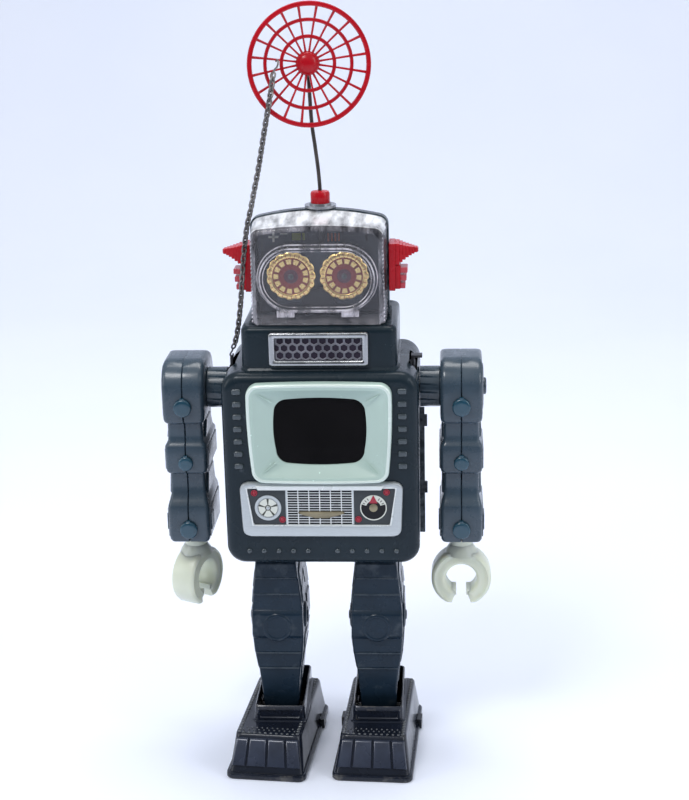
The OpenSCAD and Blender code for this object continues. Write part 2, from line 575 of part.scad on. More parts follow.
module leg(s) {
  cx = s * leg_x;
  color([0.15, 0.18, 0.21]) difference() {
    union() {
      difference() {
        slab_x(cx - 10.1, cx + 10.1) polygon(leg_profile(0));
        slab_x(cx - 9.1, cx + 9.1) polygon(leg_profile(1));
      }
      // tubes for the hip axle and the ankle pin
      cyl_x(cx - 10.1, cx + 10.1, 3.4, 0, hip_z);
      cyl_x(cx - 10.1, cx + 10.1, 3.0, 0, ankle_z);
      // stepped side pressings, widest at the knee
      for (e = [-1, 1]) {
        slab_x(cx + e * 10.35 - 0.85, cx + e * 10.35 + 0.85) polygon(leg_pad_low);
        slab_x(cx + e * 11.85 - 0.85, cx + e * 11.85 + 0.85) polygon(leg_pad_high);
      }
      // knee discs on the sides and the pressed knee on the front
      cyl_x(cx - 13.6, cx - 12.5, 5.6, -7, 74);
      cyl_x(cx + 12.5, cx + 13.6, 5.6, -7, 74);
      cyl_x(cx - 14.4, cx - 13.5, 2.4, -7, 74);
      cyl_x(cx + 13.5, cx + 14.4, 2.4, -7, 74);
      cyl_y(-21.3, -20.2, 7.2, cx, 71);
      // slotted fork plate beside the crank
      difference() {
        block(cx + (s > 0 ? 8.9 : -10.1), cx + (s > 0 ? 10.1 : -8.9), -6, 6, 116.8, 131);
        block(cx - 12, cx + 12, -1.5, 1.5, 119.4, 129);
      }
    }
    cyl_x(cx - 12, cx + 12, hip_r + rc, 0, hip_z);
    cyl_x(cx - 12, cx + 12, 1.5 + rc, 0, ankle_z);
  }
}
module left_leg() { leg(1); }
module right_leg() { leg(-1); }
module hip_axle() {
  color([0.62, 0.62, 0.64]) union() {
    cyl_x(-40.5, 40.5, hip_r, 0, hip_z);
    for (s = [-1, 1]) {
      // brackets standing on the bottom plate
      block(min(s * 36.6, s * 37.8), max(s * 36.6, s * 37.8), -4, 4, 112.1, 118);
    }
    block(-1, 1, -3, 3, 112.1, 117.5);
  }
}

// ---------- feet ----------
module foot_frame(s) { translate([s * leg_x + (s < 0 ? -1.5 : 0), 0, 0]) rotate([0, 0, s < 0 ? right_foot_yaw : left_foot_yaw]) children(); }
module shoe(s) {
  cx = s * leg_x;
  color([0.13, 0.15, 0.18]) union() {
    difference() {
      union() {
        foot_frame(s) hull() {
          slab_z(3.2, 4) polygon(rrp(-18.9, 18.9, -47, 28.6, 3));
          slab_z(19.6, 20.4) polygon(rrp(-16.6, 16.6, -39.4, 26.2, 3));
        }
        slab_z(20.2, 28.2) polygon([for (p = rrp(-12.7, 12.7, -21.5, 23, 2)) p + [cx, 0]]);
      }
      foot_frame(s) hull() {
        slab_z(3.1, 4) polygon(rrp(-17.8, 17.8, -45.8, 27.5, 2.5));
        slab_z(18.6, 19.4) polygon(rrp(-15.6, 15.6, -38.4, 25.2, 2.5));
      }
      slab_z(12, 30) polygon([for (p = rrp(-11.5, 11.5, -20.3, 21.8, 1.5)) p + [cx, 0]]);
    }
    // ankle pin carried by two ears that stand inside the shoe
    cyl_x(cx - 11.9, cx + 11.9, 1.5, 0, ankle_z);
    for (e = [-1, 1]) block(cx + e * 11.7 - 0.7, cx + e * 11.7 + 0.7, -3, 3, 3.2, 21);
  }
}
module left_shoe() { shoe(1); }
module right_shoe() { shoe(-1); }
module sole(s) {
  color([0.12, 0.14, 0.16]) foot_frame(s) difference() {
    union() {
      slab_z(0, 3.2) polygon(rrp(-20.2, 20.2, -49, 30, 4));
      // small lugs on the sides
      for (e = [-1, 1]) block(e * 20.6 - 1.2, e * 20.6 + 1.2, 6, 14, 0, 6.4);
      // bearing blocks of the roller axle
      for (e = [-1, 1]) block(e * 14.4 - 1.1, e * 14.4 + 1.1, 5, 11, 3, 7.4);
    }
    cyl_x(-20, 20, 1.2 + rc, 8, 4.6);
    for (e = [-1, 1]) block(e * 9 - 2.9, e * 9 + 2.9, 1.5, 14.5, -1, 8);
    for (e = [-1, 1]) block(e * 9 - 2.9, e * 9 + 2.9, -30.5, -17.5, -1, 8);
  }
}
module left_sole() { sole(1); }
module right_sole() { sole(-1); }
module rollers(s) {
  color([0.30, 0.30, 0.31]) foot_frame(s) union() {
    cyl_x(-15.4, 15.4, 1.2, 8, 4.6);
    for (e = [-1, 1]) cyl_x(e * 9 - 2.1, e * 9 + 2.1, 4.3, 8, 4.6);
  }
}
module left_rollers() { rollers(1); }
module right_rollers() { rollers(-1); }

// ---------- arms ----------
// block outlines in the Y-Z plane; the shank joins them
arm_blocks = [rrp(-20, 20, 177.5, 207.6, 12), rrp(-18.4, 18.4, 151.5, 166, 4), rrp(-19.4, 19.4, 115.5, 136, 5)];
arm_shank = [[-16, 195], [16, 195], [16.5, 178], [15, 171], [16.4, 158], [15, 146], [16.4, 136], [17, 119], [-17, 119], [-16.4, 136], [-15, 146], [-16.4, 158], [-15, 171], [-16.5, 178]];
module arm_half(s, outer) {
  a = arm_x; w = 0.1;
  x0 = outer ? a + w : a - 10.2; x1 = outer ? a + 10.2 : a - w;
  sx0 = outer ? a + w : a - 8.9; sx1 = outer ? a + 8.9 : a - w;
  i0 = outer ? a - 1 : a - 8.6; i1 = outer ? a + 8.6 : a + 1;
  j0 = outer ? a - 1 : a - 7.3; j1 = outer ? a + 7.3 : a + 1;
  color([0.29, 0.34, 0.40]) mirror([s > 0 ? 0 : 1, 0, 0]) difference() {
    union() {
      for (b = arm_blocks) slab_x(x0, x1) polygon(b);
      slab_x(sx0, sx1) polygon(arm_shank);
    }
    slab_x(i0, i1) polygon(rrp(-18.2, 18.2, 179.3, 205.8, 10.2));
    slab_x(j0, j1) polygon(rrp(-13.4, 13.4, 125, 185, 2));
    // wrist socket and shoulder axle
    cyl_z(110, 122.4, 3.6 + rc, a, 0);
    cyl_z(118.6, 122.4, 5.2, a, 0);
    cyl_x(40, 90, 2.5 + rc, 0, shoulder_z);
    for (z = [186.3, 157.4, 123]) cyl_y(-30, -10, 1.6, a, z);
  }
}
module left_arm_inner() { arm_half(1, false); }
module left_arm_outer() { arm_half(1, true); }
module right_arm_inner() { arm_half(-1, false); }
module right_arm_outer() { arm_half(-1, true); }
module arm_axle(s) {
  color([0.29, 0.33, 0.38]) mirror([s > 0 ? 0 : 1, 0, 0]) union() {
    cyl_x(25.6 + (s > 0 ? 2.6 : 0), arm_x + 10.2, 2.5, 0, shoulder_z);
    cyl_x(body_hw + 0.3, arm_x - 10.2, 10, 0, shoulder_z);
    cyl_x(arm_x + 10.2, arm_x + 12.2, 4.2, 0, shoulder_z);
    // inner lever
    block(33, 34.4, -3, 3, shoulder_z - 14, shoulder_z);
  }
}
module left_arm_axle() { arm_axle(1); }
module right_arm_axle() { arm_axle(-1); }
module arm_studs(s) {
  color([0.20, 0.37, 0.48]) for (k = [[186.3, 4.4, -20], [157.4, 3.6, -18.4], [123, 4.4, -19.4]]) union() {
    cyl_y(k[2] - 2.2, k[2], k[1], s * arm_x, k[0]);
    cyl_y(k[2], -11.5, 1.6, s * arm_x, k[0]);
  }
}
module left_arm_studs() { arm_studs(1); }
module right_arm_studs() { arm_studs(-1); }
module hand(s, turn) {
  color([0.86, 0.87, 0.80]) translate([s * arm_x, 0, 91]) rotate([0, 0, turn]) union() {
    difference() {
      cyl_y(-6.5, 6.5, 15, 0, 0);
      cyl_y(-8, 8, 7.9, 0, 0);
      block(-4, 4, -8, 8, -20, 0);
    }
    cyl_z(13.6, 24.2, 5.6, 0, 0);
    cyl_z(24, 28, 3.6, 0, 0);
    cyl_z(27.8, 31.2, 5.0, 0, 0);
  }
}
module left_hand() { hand(1, 0); }
module right_hand() { hand(-1, right_hand_turn); }

front_shell();
back_shell();
bottom_plate();
tv_bezel();
tv_window();
control_plate();
control_panel();
neck_box();
grille_frame();
grille_mesh();
head_shell();
visor();
face_board();
left_ear();
right_ear();
antenna_bushing();
side_plate_left();
side_plate_right();
motor_plate_front();
motor_plate_back();
motor_pillars();
hip_axle();
mainspring();
chain_hook();
antenna_cap();
antenna_mast();
dish();
chain();
left_eye();
right_eye();
left_eye_gear();
right_eye_gear();
key();
key_arbor();
great_wheel();
second_wheel();
third_wheel();
governor_fan();
crankshaft();
drum_idler();
scene_drum();
left_leg();
right_leg();
left_shoe();
right_shoe();
left_sole();
right_sole();
left_rollers();
right_rollers();
left_arm_inner();
left_arm_outer();
right_arm_inner();
right_arm_outer();
left_arm_axle();
right_arm_axle();
left_arm_studs();
right_arm_studs();
left_hand();
right_hand();
stop_lever();
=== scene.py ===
import bpy, bmesh, json, math
from mathutils import Vector, Matrix

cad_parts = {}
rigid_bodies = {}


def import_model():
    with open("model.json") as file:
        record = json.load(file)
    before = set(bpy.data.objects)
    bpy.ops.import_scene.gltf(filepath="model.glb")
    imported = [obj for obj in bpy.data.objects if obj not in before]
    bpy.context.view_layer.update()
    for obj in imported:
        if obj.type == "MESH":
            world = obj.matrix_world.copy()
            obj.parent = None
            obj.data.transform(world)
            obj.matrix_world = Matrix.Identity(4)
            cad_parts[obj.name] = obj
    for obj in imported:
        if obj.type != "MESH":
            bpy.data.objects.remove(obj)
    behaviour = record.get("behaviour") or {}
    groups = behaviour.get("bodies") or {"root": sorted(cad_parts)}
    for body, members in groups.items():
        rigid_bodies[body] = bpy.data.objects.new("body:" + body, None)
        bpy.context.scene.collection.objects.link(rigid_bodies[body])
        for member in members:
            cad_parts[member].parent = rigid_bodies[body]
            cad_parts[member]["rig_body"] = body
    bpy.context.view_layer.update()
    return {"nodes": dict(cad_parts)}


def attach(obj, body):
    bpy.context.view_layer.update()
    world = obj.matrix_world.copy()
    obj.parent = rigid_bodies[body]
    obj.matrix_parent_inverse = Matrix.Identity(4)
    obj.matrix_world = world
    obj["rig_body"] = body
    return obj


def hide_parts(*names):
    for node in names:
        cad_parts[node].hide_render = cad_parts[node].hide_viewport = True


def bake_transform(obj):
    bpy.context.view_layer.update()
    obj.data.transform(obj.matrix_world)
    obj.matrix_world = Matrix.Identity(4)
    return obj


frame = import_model()
NODES = frame["nodes"]
SC = bpy.context.scene
ANKLE_Z = 17.0
pi = math.pi

# ------------------------------------------------------------------ camera
cam_data = bpy.data.cameras.new("Camera")
cam = bpy.data.objects.new("Camera", cam_data)
SC.collection.objects.link(cam)
fwd = Vector((-0.06179, 0.95327, -0.29573)); rgt = Vector((0.99808, 0.05802, -0.02153)); upv = Vector((0.00337, 0.29649, 0.95503))
rot = Matrix((rgt, upv, -fwd)).transposed().to_4x4()
cam.matrix_world = Matrix.Translation((0.059957, -0.770748, 0.422920)) @ rot
cam_data.sensor_width = 36.0
cam_data.lens = 73.85
cam_data.clip_start = 0.02
cam_data.clip_end = 20
SC.camera = cam

# ------------------------------------------------------------------ mesh helpers (millimetres in, metres out)
def finish_mesh(name, me, mat, body, nodes=(), smooth=32, bevel=0, seg=3, sub=0, slot=None, ang=30):
    o = bpy.data.objects.new(name, me)
    SC.collection.objects.link(o)
    mats = mat if isinstance(mat, (list, tuple)) else [mat]
    if not me.materials:
        for m in mats: me.materials.append(m)
    for p in me.polygons: p.use_smooth = True
    me.set_sharp_from_angle(angle=math.radians(smooth))
    if bevel:
        b = o.modifiers.new("bevel", "BEVEL"); b.width = bevel * 0.001; b.segments = seg
        b.limit_method = "ANGLE"; b.angle_limit = math.radians(ang); b.harden_normals = True
        b.use_clamp_overlap = True
    if sub:
        s = o.modifiers.new("sub", "SUBSURF"); s.levels = sub; s.render_levels = sub
    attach(o, body)
    if nodes:
        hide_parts(*([nodes] if isinstance(nodes, str) else nodes))
    return o

def from_vf(name, verts, faces, mat, body, midx=None, fix=True, **k):
    me = bpy.data.meshes.new(name)
    me.from_pydata([(v[0] * 0.001, v[1] * 0.001, v[2] * 0.001) for v in verts], [], faces)
    if midx:
        for p, i in zip(me.polygons, midx): p.material_index = i
        for m in mat: me.materials.append(m)
    me.validate()
    if fix:
        bm = bmesh.new(); bm.from_mesh(me)
        bmesh.ops.remove_doubles(bm, verts=bm.verts, dist=1e-6)
        bmesh.ops.recalc_face_normals(bm, faces=bm.faces)
        bm.to_mesh(me); bm.free()
    me.update()
    return finish_mesh(name, me, mat, body, **k)

def arc(cx, cz, r, a0, a1, n):
    return [(cx + r * math.cos(math.radians(a0 + (a1 - a0) * i / n)), cz + r * math.sin(math.radians(a0 + (a1 - a0) * i / n))) for i in range(n + 1)]

def rr(hb, ht, z0, z1, r, bow=0.0, n=8, m=1, cx=0.0):
    """rounded keystone outline with the same count whatever its size; sides bow out"""
    c = [arc(ht - r, z1 - r, r, 0, 90, n), arc(-ht + r, z1 - r, r, 90, 180, n), arc(-hb + r, z0 + r, r, 180, 270, n), arc(hb - r, z0 + r, r, 270, 360, n)]
    d = [(0, 1), (-1, 0), (0, -1), (1, 0)]
    out = []
    for k in range(4):
        out += c[k]
        a, b = c[k][-1], c[(k + 1) % 4][0]
        for j in range(1, m):
            t = j / m; w = bow * (1 - (2 * t - 1) ** 2)
            out.append((a[0] + (b[0] - a[0]) * t + d[k][0] * w, a[1] + (b[1] - a[1]) * t + d[k][1] * w))
    return [(x + cx, z) for x, z in out]

def polar(pts, c, N=128, ph=0.0):
    """resample a convex outline at N directions round c"""
    out = []
    L = len(pts)
    for i in range(N):
        a = ph + 2 * pi * i / N; dx, dz = math.cos(a), math.sin(a)
        best = 0
        for j in range(L):
            x1, z1 = pts[j][0] - c[0], pts[j][1] - c[1]; x2, z2 = pts[(j + 1) % L][0] - c[0], pts[(j + 1) % L][1] - c[1]
            ex, ez = x2 - x1, z2 - z1
            den = dx * ez - dz * ex
            if abs(den) < 1e-12: continue
            t = (x1 * ez - z1 * ex) / den; s = (x1 * dz - z1 * dx) / den
            if t > 0 and -1e-9 <= s <= 1 + 1e-9: best = max(best, t)
        out.append((c[0] + dx * best, c[1] + dz * best))
    return out

def blend2(a, b, t): return [(p[0] + (q[0] - p[0]) * t, p[1] + (q[1] - p[1]) * t) for p, q in zip(a, b)]
def xz(o, y): return [(p[0], y, p[1]) for p in o]
def xy(o, z): return [(p[0], p[1], z) for p in o]
def yz(o, x): return [(x, p[0], p[1]) for p in o]

def loft(rings, cap0=False, cap1=False, keep=None):
    n = len(rings[0]); v = [p for r in rings for p in r]; f = []
    for i in range(len(rings) - 1):
        for k in range(n):
            q = (i * n + k, i * n + (k + 1) % n, (i + 1) * n + (k + 1) % n, (i + 1) * n + k)
            if keep:
                c = [sum(v[j][a] for j in q) / 4 for a in range(3)]
                if not keep(c): continue
            f.append(q)
    if cap0: f.append(tuple(reversed(range(n))))
    if cap1: f.append(tuple((len(rings) - 1) * n + k for k in range(n)))
    return v, f

def joinvf(*parts):
    V, F = [], []
    for v, f in parts:
        b = len(V); V += list(v); F += [tuple(i + b for i in q) for q in f]
    return V, F

def prism(o2, axis, a0, a1):
    """outline extruded along axis x, y or z"""
    pl = {"x": yz, "y": xz, "z": xy}[axis]
    return loft([pl(o2, a0), pl(o2, a1)], True, True)

def boxvf(x0, x1, y0, y1, z0, z1):
    return prism([(x0, y0), (x1, y0), (x1, y1), (x0, y1)], "z", z0, z1)

def lathe(profile, centre, axis="y", n=48, a0=0, a1=360):
    """profile is (radius, position along the axis)"""
    full = abs(a1 - a0) >= 360
    cnt = n if full else n + 1
    V, F = [], []
    for r, h in profile:
        if r <= 0.021: r = 0.0
        for k in range(cnt):
            a = math.radians(a0 + (a1 - a0) * k / n); c, s = r * math.cos(a), r * math.sin(a)
            p = {"y": (c, h, s), "z": (c, s, h), "x": (h, c, s)}[axis]
            V.append((p[0] + centre[0], p[1] + centre[1], p[2] + centre[2]))
    for i in range(len(profile) - 1):
        for k in range(cnt if full else cnt - 1):
            F.append((i * cnt + k, i * cnt + (k + 1) % cnt, (i + 1) * cnt + (k + 1) % cnt, (i + 1) * cnt + k))
    return V, F

def turn_z(vf, deg, c=(0, 0)):
    a = math.radians(deg); ca, sa = math.cos(a), math.sin(a)
    return [((x - c[0]) * ca - (y - c[1]) * sa + c[0], (x - c[0]) * sa + (y - c[1]) * ca + c[1], z) for x, y, z in vf[0]], vf[1]
def shift(vf, d): return [(x + d[0], y + d[1], z + d[2]) for x, y, z in vf[0]], vf[1]
def mirror_x(vf): return [(-x, y, z) for x, y, z in vf[0]], [tuple(reversed(q)) for q in vf[1]]

def tube(path, r, n=12, caps=True):
    P = [Vector(p) for p in path]; rings = []; u = None
    for i, p in enumerate(P):
        t = (P[min(i + 1, len(P) - 1)] - P[max(i - 1, 0)]).normalized()
        if u is None: u = t.cross(Vector((0, 1, 0.13))).normalized()
        u = (u - t * u.dot(t)).normalized(); v = t.cross(u)
        rings.append([tuple(p + (u * math.cos(2 * pi * k / n) + v * math.sin(2 * pi * k / n)) * r) for k in range(n)])
    return loft(rings, caps, caps)
def spline(pts, per=8):
    P = [Vector(p) for p in pts]; out = []
    for i in range(len(P) - 1):
        a = P[max(i - 1, 0)]; b = P[i]; c = P[i + 1]; d = P[min(i + 2, len(P) - 1)]
        for k in range(per):
            t = k / per; out.append(0.5 * ((2 * b) + (c - a) * t + (2 * a - 5 * b + 4 * c - d) * t * t + (3 * b - a - 3 * c + d) * t ** 3))
    out.append(P[-1]); return out

# ------------------------------------------------------------------ materials
def nt(name):
    m = bpy.data.materials.new(name); m.use_nodes = True
    t = m.node_tree; b = t.nodes["Principled BSDF"]
    return m, t, b
def noise_node(t, scale, detail=4, rough=0.55, co=None):
    n = t.nodes.new("ShaderNodeTexNoise"); n.inputs["Scale"].default_value = scale
    n.inputs["Detail"].default_value = detail; n.inputs["Roughness"].default_value = rough
    if co is None:
        tc = t.nodes.new("ShaderNodeTexCoord"); co = tc.outputs["Object"]
    t.links.new(co, n.inputs["Vector"]); return n
def ramp(t, fac, stops):
    r = t.nodes.new("ShaderNodeValToRGB"); e = r.color_ramp.elements
    e[0].position, e[0].color = stops[0][0], stops[0][1]
    e[1].position, e[1].color = stops[-1][0], stops[-1][1]
    for s in stops[1:-1]:
        x = e.new(s[0]); x.color = s[1]
    t.links.new(fac, r.inputs["Fac"]); return r
def g(v): return (v, v, v, 1)
def c4(c): return (c[0], c[1], c[2], 1)
def mul(c, k): return [x * k for x in c]
def bump(t, b, h, strength, dist):
    n = t.nodes.new("ShaderNodeBump"); n.inputs["Strength"].default_value = strength; n.inputs["Distance"].default_value = dist
    t.links.new(h, n.inputs["Height"]); t.links.new(n.outputs["Normal"], b.inputs["Normal"])

def enamel(name, col, rough=0.28, metal=0.25, var=0.25, coat=0.5, specks=True, edge=None, spec=0.5, patch=True):
    """stoved enamel on tin: slow colour drift, fine orange peel, rubbed specks, worn edges"""
    m, t, b = nt(name)
    n1 = noise_node(t, 28 if patch else 90, 5)
    base = ramp(t, n1.outputs["Fac"], [(0.3, c4(mul(col, 1 - var))), (0.7, c4(mul(col, 1 + var)))])
    out = base.outputs["Color"]
    if specks:
        n2 = noise_node(t, 420, 3, 0.6); r2 = ramp(t, n2.outputs["Fac"], [(0.70, g(0)), (0.76, g(1))])
        mx = t.nodes.new("ShaderNodeMix"); mx.data_type = "RGBA"
        t.links.new(r2.outputs["Color"], mx.inputs[0]); t.links.new(out, mx.inputs[6]); mx.inputs[7].default_value = c4([min(1, x * 1.7 + 0.012) for x in col])
        out = mx.outputs[2]
    if edge:
        geo = t.nodes.new("ShaderNodeNewGeometry"); n3 = noise_node(t, 160, 4)
        ad = t.nodes.new("ShaderNodeMath"); ad.operation = "MULTIPLY_ADD"; ad.inputs[1].default_value = 0.22
        t.links.new(n3.outputs["Fac"], ad.inputs[0]); t.links.new(geo.outputs["Pointiness"], ad.inputs[2])
        r3 = ramp(t, ad.outputs[0], [(0.665, g(0)), (0.72, g(1))])
        mx = t.nodes.new("ShaderNodeMix"); mx.data_type = "RGBA"
        t.links.new(r3.outputs["Color"], mx.inputs[0]); t.links.new(out, mx.inputs[6]); mx.inputs[7].default_value = c4(edge)
        out = mx.outputs[2]
    t.links.new(out, b.inputs["Base Color"])
    nr = noise_node(t, 60, 5); rr_ = ramp(t, nr.outputs["Fac"], [(0.3, g(max(0.04, rough - 0.08))), (0.75, g(rough + 0.12))])
    t.links.new(rr_.outputs["Color"], b.inputs["Roughness"])
    b.inputs["Metallic"].default_value = metal; b.inputs["Specular IOR Level"].default_value = spec
    b.inputs["Coat Weight"].default_value = coat; b.inputs["Coat Roughness"].default_value = 0.12
    nb = noise_node(t, 900, 2); bump(t, b, nb.outputs["Fac"], 0.18, 0.00015)
    return m

def metal(name, col, rough=0.3, brushed=None, scratch=0.15, var=0.12, metallic=1.0):
    m, t, b = nt(name)
    tc = t.nodes.new("ShaderNodeTexCoord"); mp = t.nodes.new("ShaderNodeMapping")
    mp.inputs["Scale"].default_value = brushed or (1, 1, 1)
    t.links.new(tc.outputs["Object"], mp.inputs["Vector"])
    n = noise_node(t, 300 if brushed else 120, 5, 0.6, mp.outputs["Vector"])
    t.links.new(ramp(t, n.outputs["Fac"], [(0.3, c4(mul(col, 1 - var))), (0.7, c4([min(1, x * (1 + var)) for x in col]))]).outputs["Color"], b.inputs["Base Color"])
    t.links.new(ramp(t, n.outputs["Fac"], [(0.25, g(max(0.05, rough - 0.1))), (0.75, g(rough + scratch))]).outputs["Color"], b.inputs["Roughness"])
    b.inputs["Metallic"].default_value = metallic
    bump(t, b, n.outputs["Fac"], 0.12, 0.0001)
    return m

def plastic(name, col, rough=0.3, var=0.08, sss=0.0, coat=0.2, grain=500, bstr=0.1, alpha=1.0, trans=0.0, spec=0.5):
    m, t, b = nt(name)
    b.inputs["Specular IOR Level"].default_value = spec
    n1 = noise_node(t, 40, 4)
    t.links.new(ramp(t, n1.outputs["Fac"], [(0.3, c4(mul(col, 1 - var))), (0.7, c4([min(1, x * (1 + var)) for x in col]))]).outputs["Color"], b.inputs["Base Color"])
    n2 = noise_node(t, 130, 5)
    t.links.new(ramp(t, n2.outputs["Fac"], [(0.3, g(max(0.04, rough - 0.07))), (0.75, g(rough + 0.1))]).outputs["Color"], b.inputs["Roughness"])
    b.inputs["Coat Weight"].default_value = coat; b.inputs["Coat Roughness"].default_value = 0.15
    if sss:
        b.inputs["Subsurface Weight"].default_value = sss; b.inputs["Subsurface Scale"].default_value = 0.004
        b.inputs["Subsurface Radius"].default_value = (1.0, 0.9, 0.7)
    if alpha < 1: b.inputs["Alpha"].default_value = alpha; m.blend_method = "BLEND"
    b.inputs["Transmission Weight"].default_value = trans
    n3 = noise_node(t, grain, 3); bump(t, b, n3.outputs["Fac"], bstr, 0.00012)
    return m

BODY = enamel("enamel_gunmetal", (0.0105, 0.0195, 0.027), rough=0.25, metal=0.05, var=0.16, coat=0.10, spec=0.17, edge=(0.10, 0.125, 0.145))
LEGM = enamel("enamel_leg", (0.0105, 0.0225, 0.038), rough=0.27, metal=0.05, var=0.14, coat=0.10, spec=0.17, edge=(0.05, 0.065, 0.08), patch=False)
SHOE = enamel("enamel_shoe", (0.0085, 0.012, 0.022), rough=0.20, metal=0.10, var=0.22, coat=0.25, spec=0.30, edge=(0.11, 0.105, 0.10), patch=False)
MINT = enamel("enamel_mint", (0.43, 0.555, 0.495), rough=0.34, metal=0.0, var=0.045, coat=0.25, spec=0.35, specks=True, edge=None)
ARM = plastic("plastic_bluegrey", (0.040, 0.063, 0.086), rough=0.27, var=0.14, coat=0.25, grain=700, spec=0.4)
TEAL = plastic("plastic_teal", (0.012, 0.058, 0.092), rough=0.22, var=0.14, coat=0.35)
RED = plastic("plastic_red", (0.47, 0.0055, 0.014), rough=0.26, var=0.10, sss=0.05, coat=0.08, spec=0.25)
CREAM = plastic("plastic_cream", (0.70, 0.735, 0.60), rough=0.34, var=0.07, sss=0.5, coat=0.15, grain=260)
CLEAR = plastic("plastic_clear", (0.80, 0.80, 0.88), rough=0.07, var=0.03, coat=0.6, alpha=0.085, grain=90, bstr=0.05)
CLEAR2 = plastic("plastic_clear_edge", (0.78, 0.79, 0.85), rough=0.10, var=0.05, coat=0.6, alpha=0.22, grain=120, bstr=0.08)
SMOKED = plastic("plastic_smoked", (0.0035, 0.0030, 0.0034), rough=0.16, var=0.5, coat=0.0, alpha=0.93, grain=60, bstr=0.05)
SMOKED.node_tree.nodes["Principled BSDF"].inputs["Specular IOR Level"].default_value = 0.06
STEEL = metal("steel_plain", (0.42, 0.43, 0.45), 0.32, (1, 1, 6))
DARKST = metal("steel_dark", (0.07, 0.07, 0.075), 0.34, var=0.3, scratch=0.25)
CHAINM = metal("steel_chain", (0.20, 0.19, 0.185), 0.26, var=0.4, scratch=0.25)
SPRING = metal("steel_blued", (0.10, 0.13, 0.20), 0.28, (1, 1, 8))
CHROME = metal("chrome_plate", (0.40, 0.41, 0.42), 0.18, var=0.14, scratch=0.22)
SILVER = metal("plate_silver", (0.50, 0.535, 0.545), 0.36, (1, 1, 12), scratch=0.15, var=0.08, metallic=0.6)
BRIGHT = metal("plate_bright", (0.72, 0.75, 0.74), 0.30, var=0.06, scratch=0.15, metallic=0.3)
BRASS = metal("brass_wheel", (0.62, 0.45, 0.17), 0.30, var=0.18, scratch=0.2)
GOLD = enamel("gold_lacquer", (0.70, 0.50, 0.20), rough=0.26, metal=0.8, var=0.32, coat=0.2, spec=0.3)
PANEL = enamel("print_panel", (0.045, 0.052, 0.058), rough=0.42, metal=0.0, var=0.14, coat=0.05, spec=0.25)
BOARD = enamel("print_board", (0.038, 0.046, 0.062), rough=0.42, metal=0.0, var=0.3, coat=0.05, spec=0.25)
EYERED = enamel("print_eye_red", (0.145, 0.016, 0.014), rough=0.34, metal=0.1, var=0.3, coat=0.2, spec=0.3)
EYEDARK = enamel("print_eye_dark", (0.060, 0.020, 0.030), rough=0.38, metal=0.1, var=0.3, coat=0.1, spec=0.3)
WHITE = enamel("print_white", (0.66, 0.68, 0.62), rough=0.42, metal=0.0, var=0.06, coat=0.1, specks=False)
REDP = enamel("print_red", (0.34, 0.010, 0.03), rough=0.35, metal=0.0, var=0.1, coat=0.2, specks=False)
BLACKP = enamel("print_black", (0.006, 0.006, 0.008), rough=0.38, metal=0.0, var=0.2, coat=0.05, spec=0.25, specks=False)
OLIVE = enamel("print_olive", (0.055, 0.058, 0.045), rough=0.4, metal=0.0, var=0.2, coat=0.1, specks=False)
LIME = enamel("print_lime", (0.16, 0.19, 0.03), rough=0.4, metal=0.0, var=0.2, coat=0.1, specks=False)
OCHRE = enamel("print_ochre", (0.24, 0.062, 0.030), rough=0.4, metal=0.0, var=0.2, coat=0.1, specks=False)
BRONZE = metal("bronze_emblem", (0.27, 0.235, 0.155), 0.36, var=0.2, scratch=0.15, metallic=0.7)
RUBBER = plastic("rubber_black", (0.018, 0.018, 0.018), rough=0.62, var=0.2, coat=0.0, grain=800, bstr=0.3)
CARD = plastic("card_print", (0.20, 0.13, 0.07), rough=0.6, var=0.35, coat=0.0)
LUG = enamel("enamel_lug", (0.010, 0.012, 0.016), rough=0.3, metal=0.2, var=0.2, coat=0.2, spec=0.35)

def clear_with_painted_reflection(name, col, lo, hi):
    """clear plastic with painted reflection: white streaks painted into its colour and opacity stand in for the bright
    sky it reflects at a grazing angle
    """
    m, t, b_ = nt(name)
    tc = t.nodes.new("ShaderNodeTexCoord"); mp = t.nodes.new("ShaderNodeMapping"); mp.inputs["Scale"].default_value = (3.2, 1.0, 1.0)
    t.links.new(tc.outputs["Object"], mp.inputs["Vector"])
    n = noise_node(t, 62, 5, 0.62, mp.outputs["Vector"])
    t.links.new(ramp(t, n.outputs["Fac"], [(0.32, g(lo)), (0.58, g(hi))]).outputs["Color"], b_.inputs["Alpha"])
    t.links.new(ramp(t, n.outputs["Fac"], [(0.3, c4(mul(col, 0.72))), (0.6, c4(col))]).outputs["Color"], b_.inputs["Base Color"])
    b_.inputs["Roughness"].default_value = 0.22; b_.inputs["Coat Weight"].default_value = 0.6; b_.inputs["Coat Roughness"].default_value = 0.1
    bump(t, b_, n.outputs["Fac"], 0.35, 0.0004); m.blend_method = "BLEND"
    return m
# painted sky reflection: the visor top gets near-opaque white streaks, the sides a dimmer, sparser painted reflection
VISOR_TOP_SKY_REFLECTION = clear_with_painted_reflection("plastic_clear_painted_sky_reflection", (0.86, 0.87, 0.90), 0.42, 0.97)
VISOR_SIDE_REFLECTION_STREAKS = clear_with_painted_reflection("plastic_clear_painted_reflection_streaks", (0.62, 0.60, 0.66), 0.03, 0.42)

def body_of_node(n): return NODES[n]["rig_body"]
def cad(n, mat, smooth=30, bevel=0.0, seg=2, ang=35):
    """a CAD node that stays, with its own material and softened edges"""
    o = NODES[n]; me = o.data
    me.materials.clear(); me.materials.append(mat)
    for p in me.polygons: p.use_smooth = True
    me.set_sharp_from_angle(angle=math.radians(smooth))
    if bevel:
        b = o.modifiers.new("bevel", "BEVEL"); b.width = bevel * 0.001; b.segments = seg
        b.limit_method = "ANGLE"; b.angle_limit = math.radians(ang); b.harden_normals = False

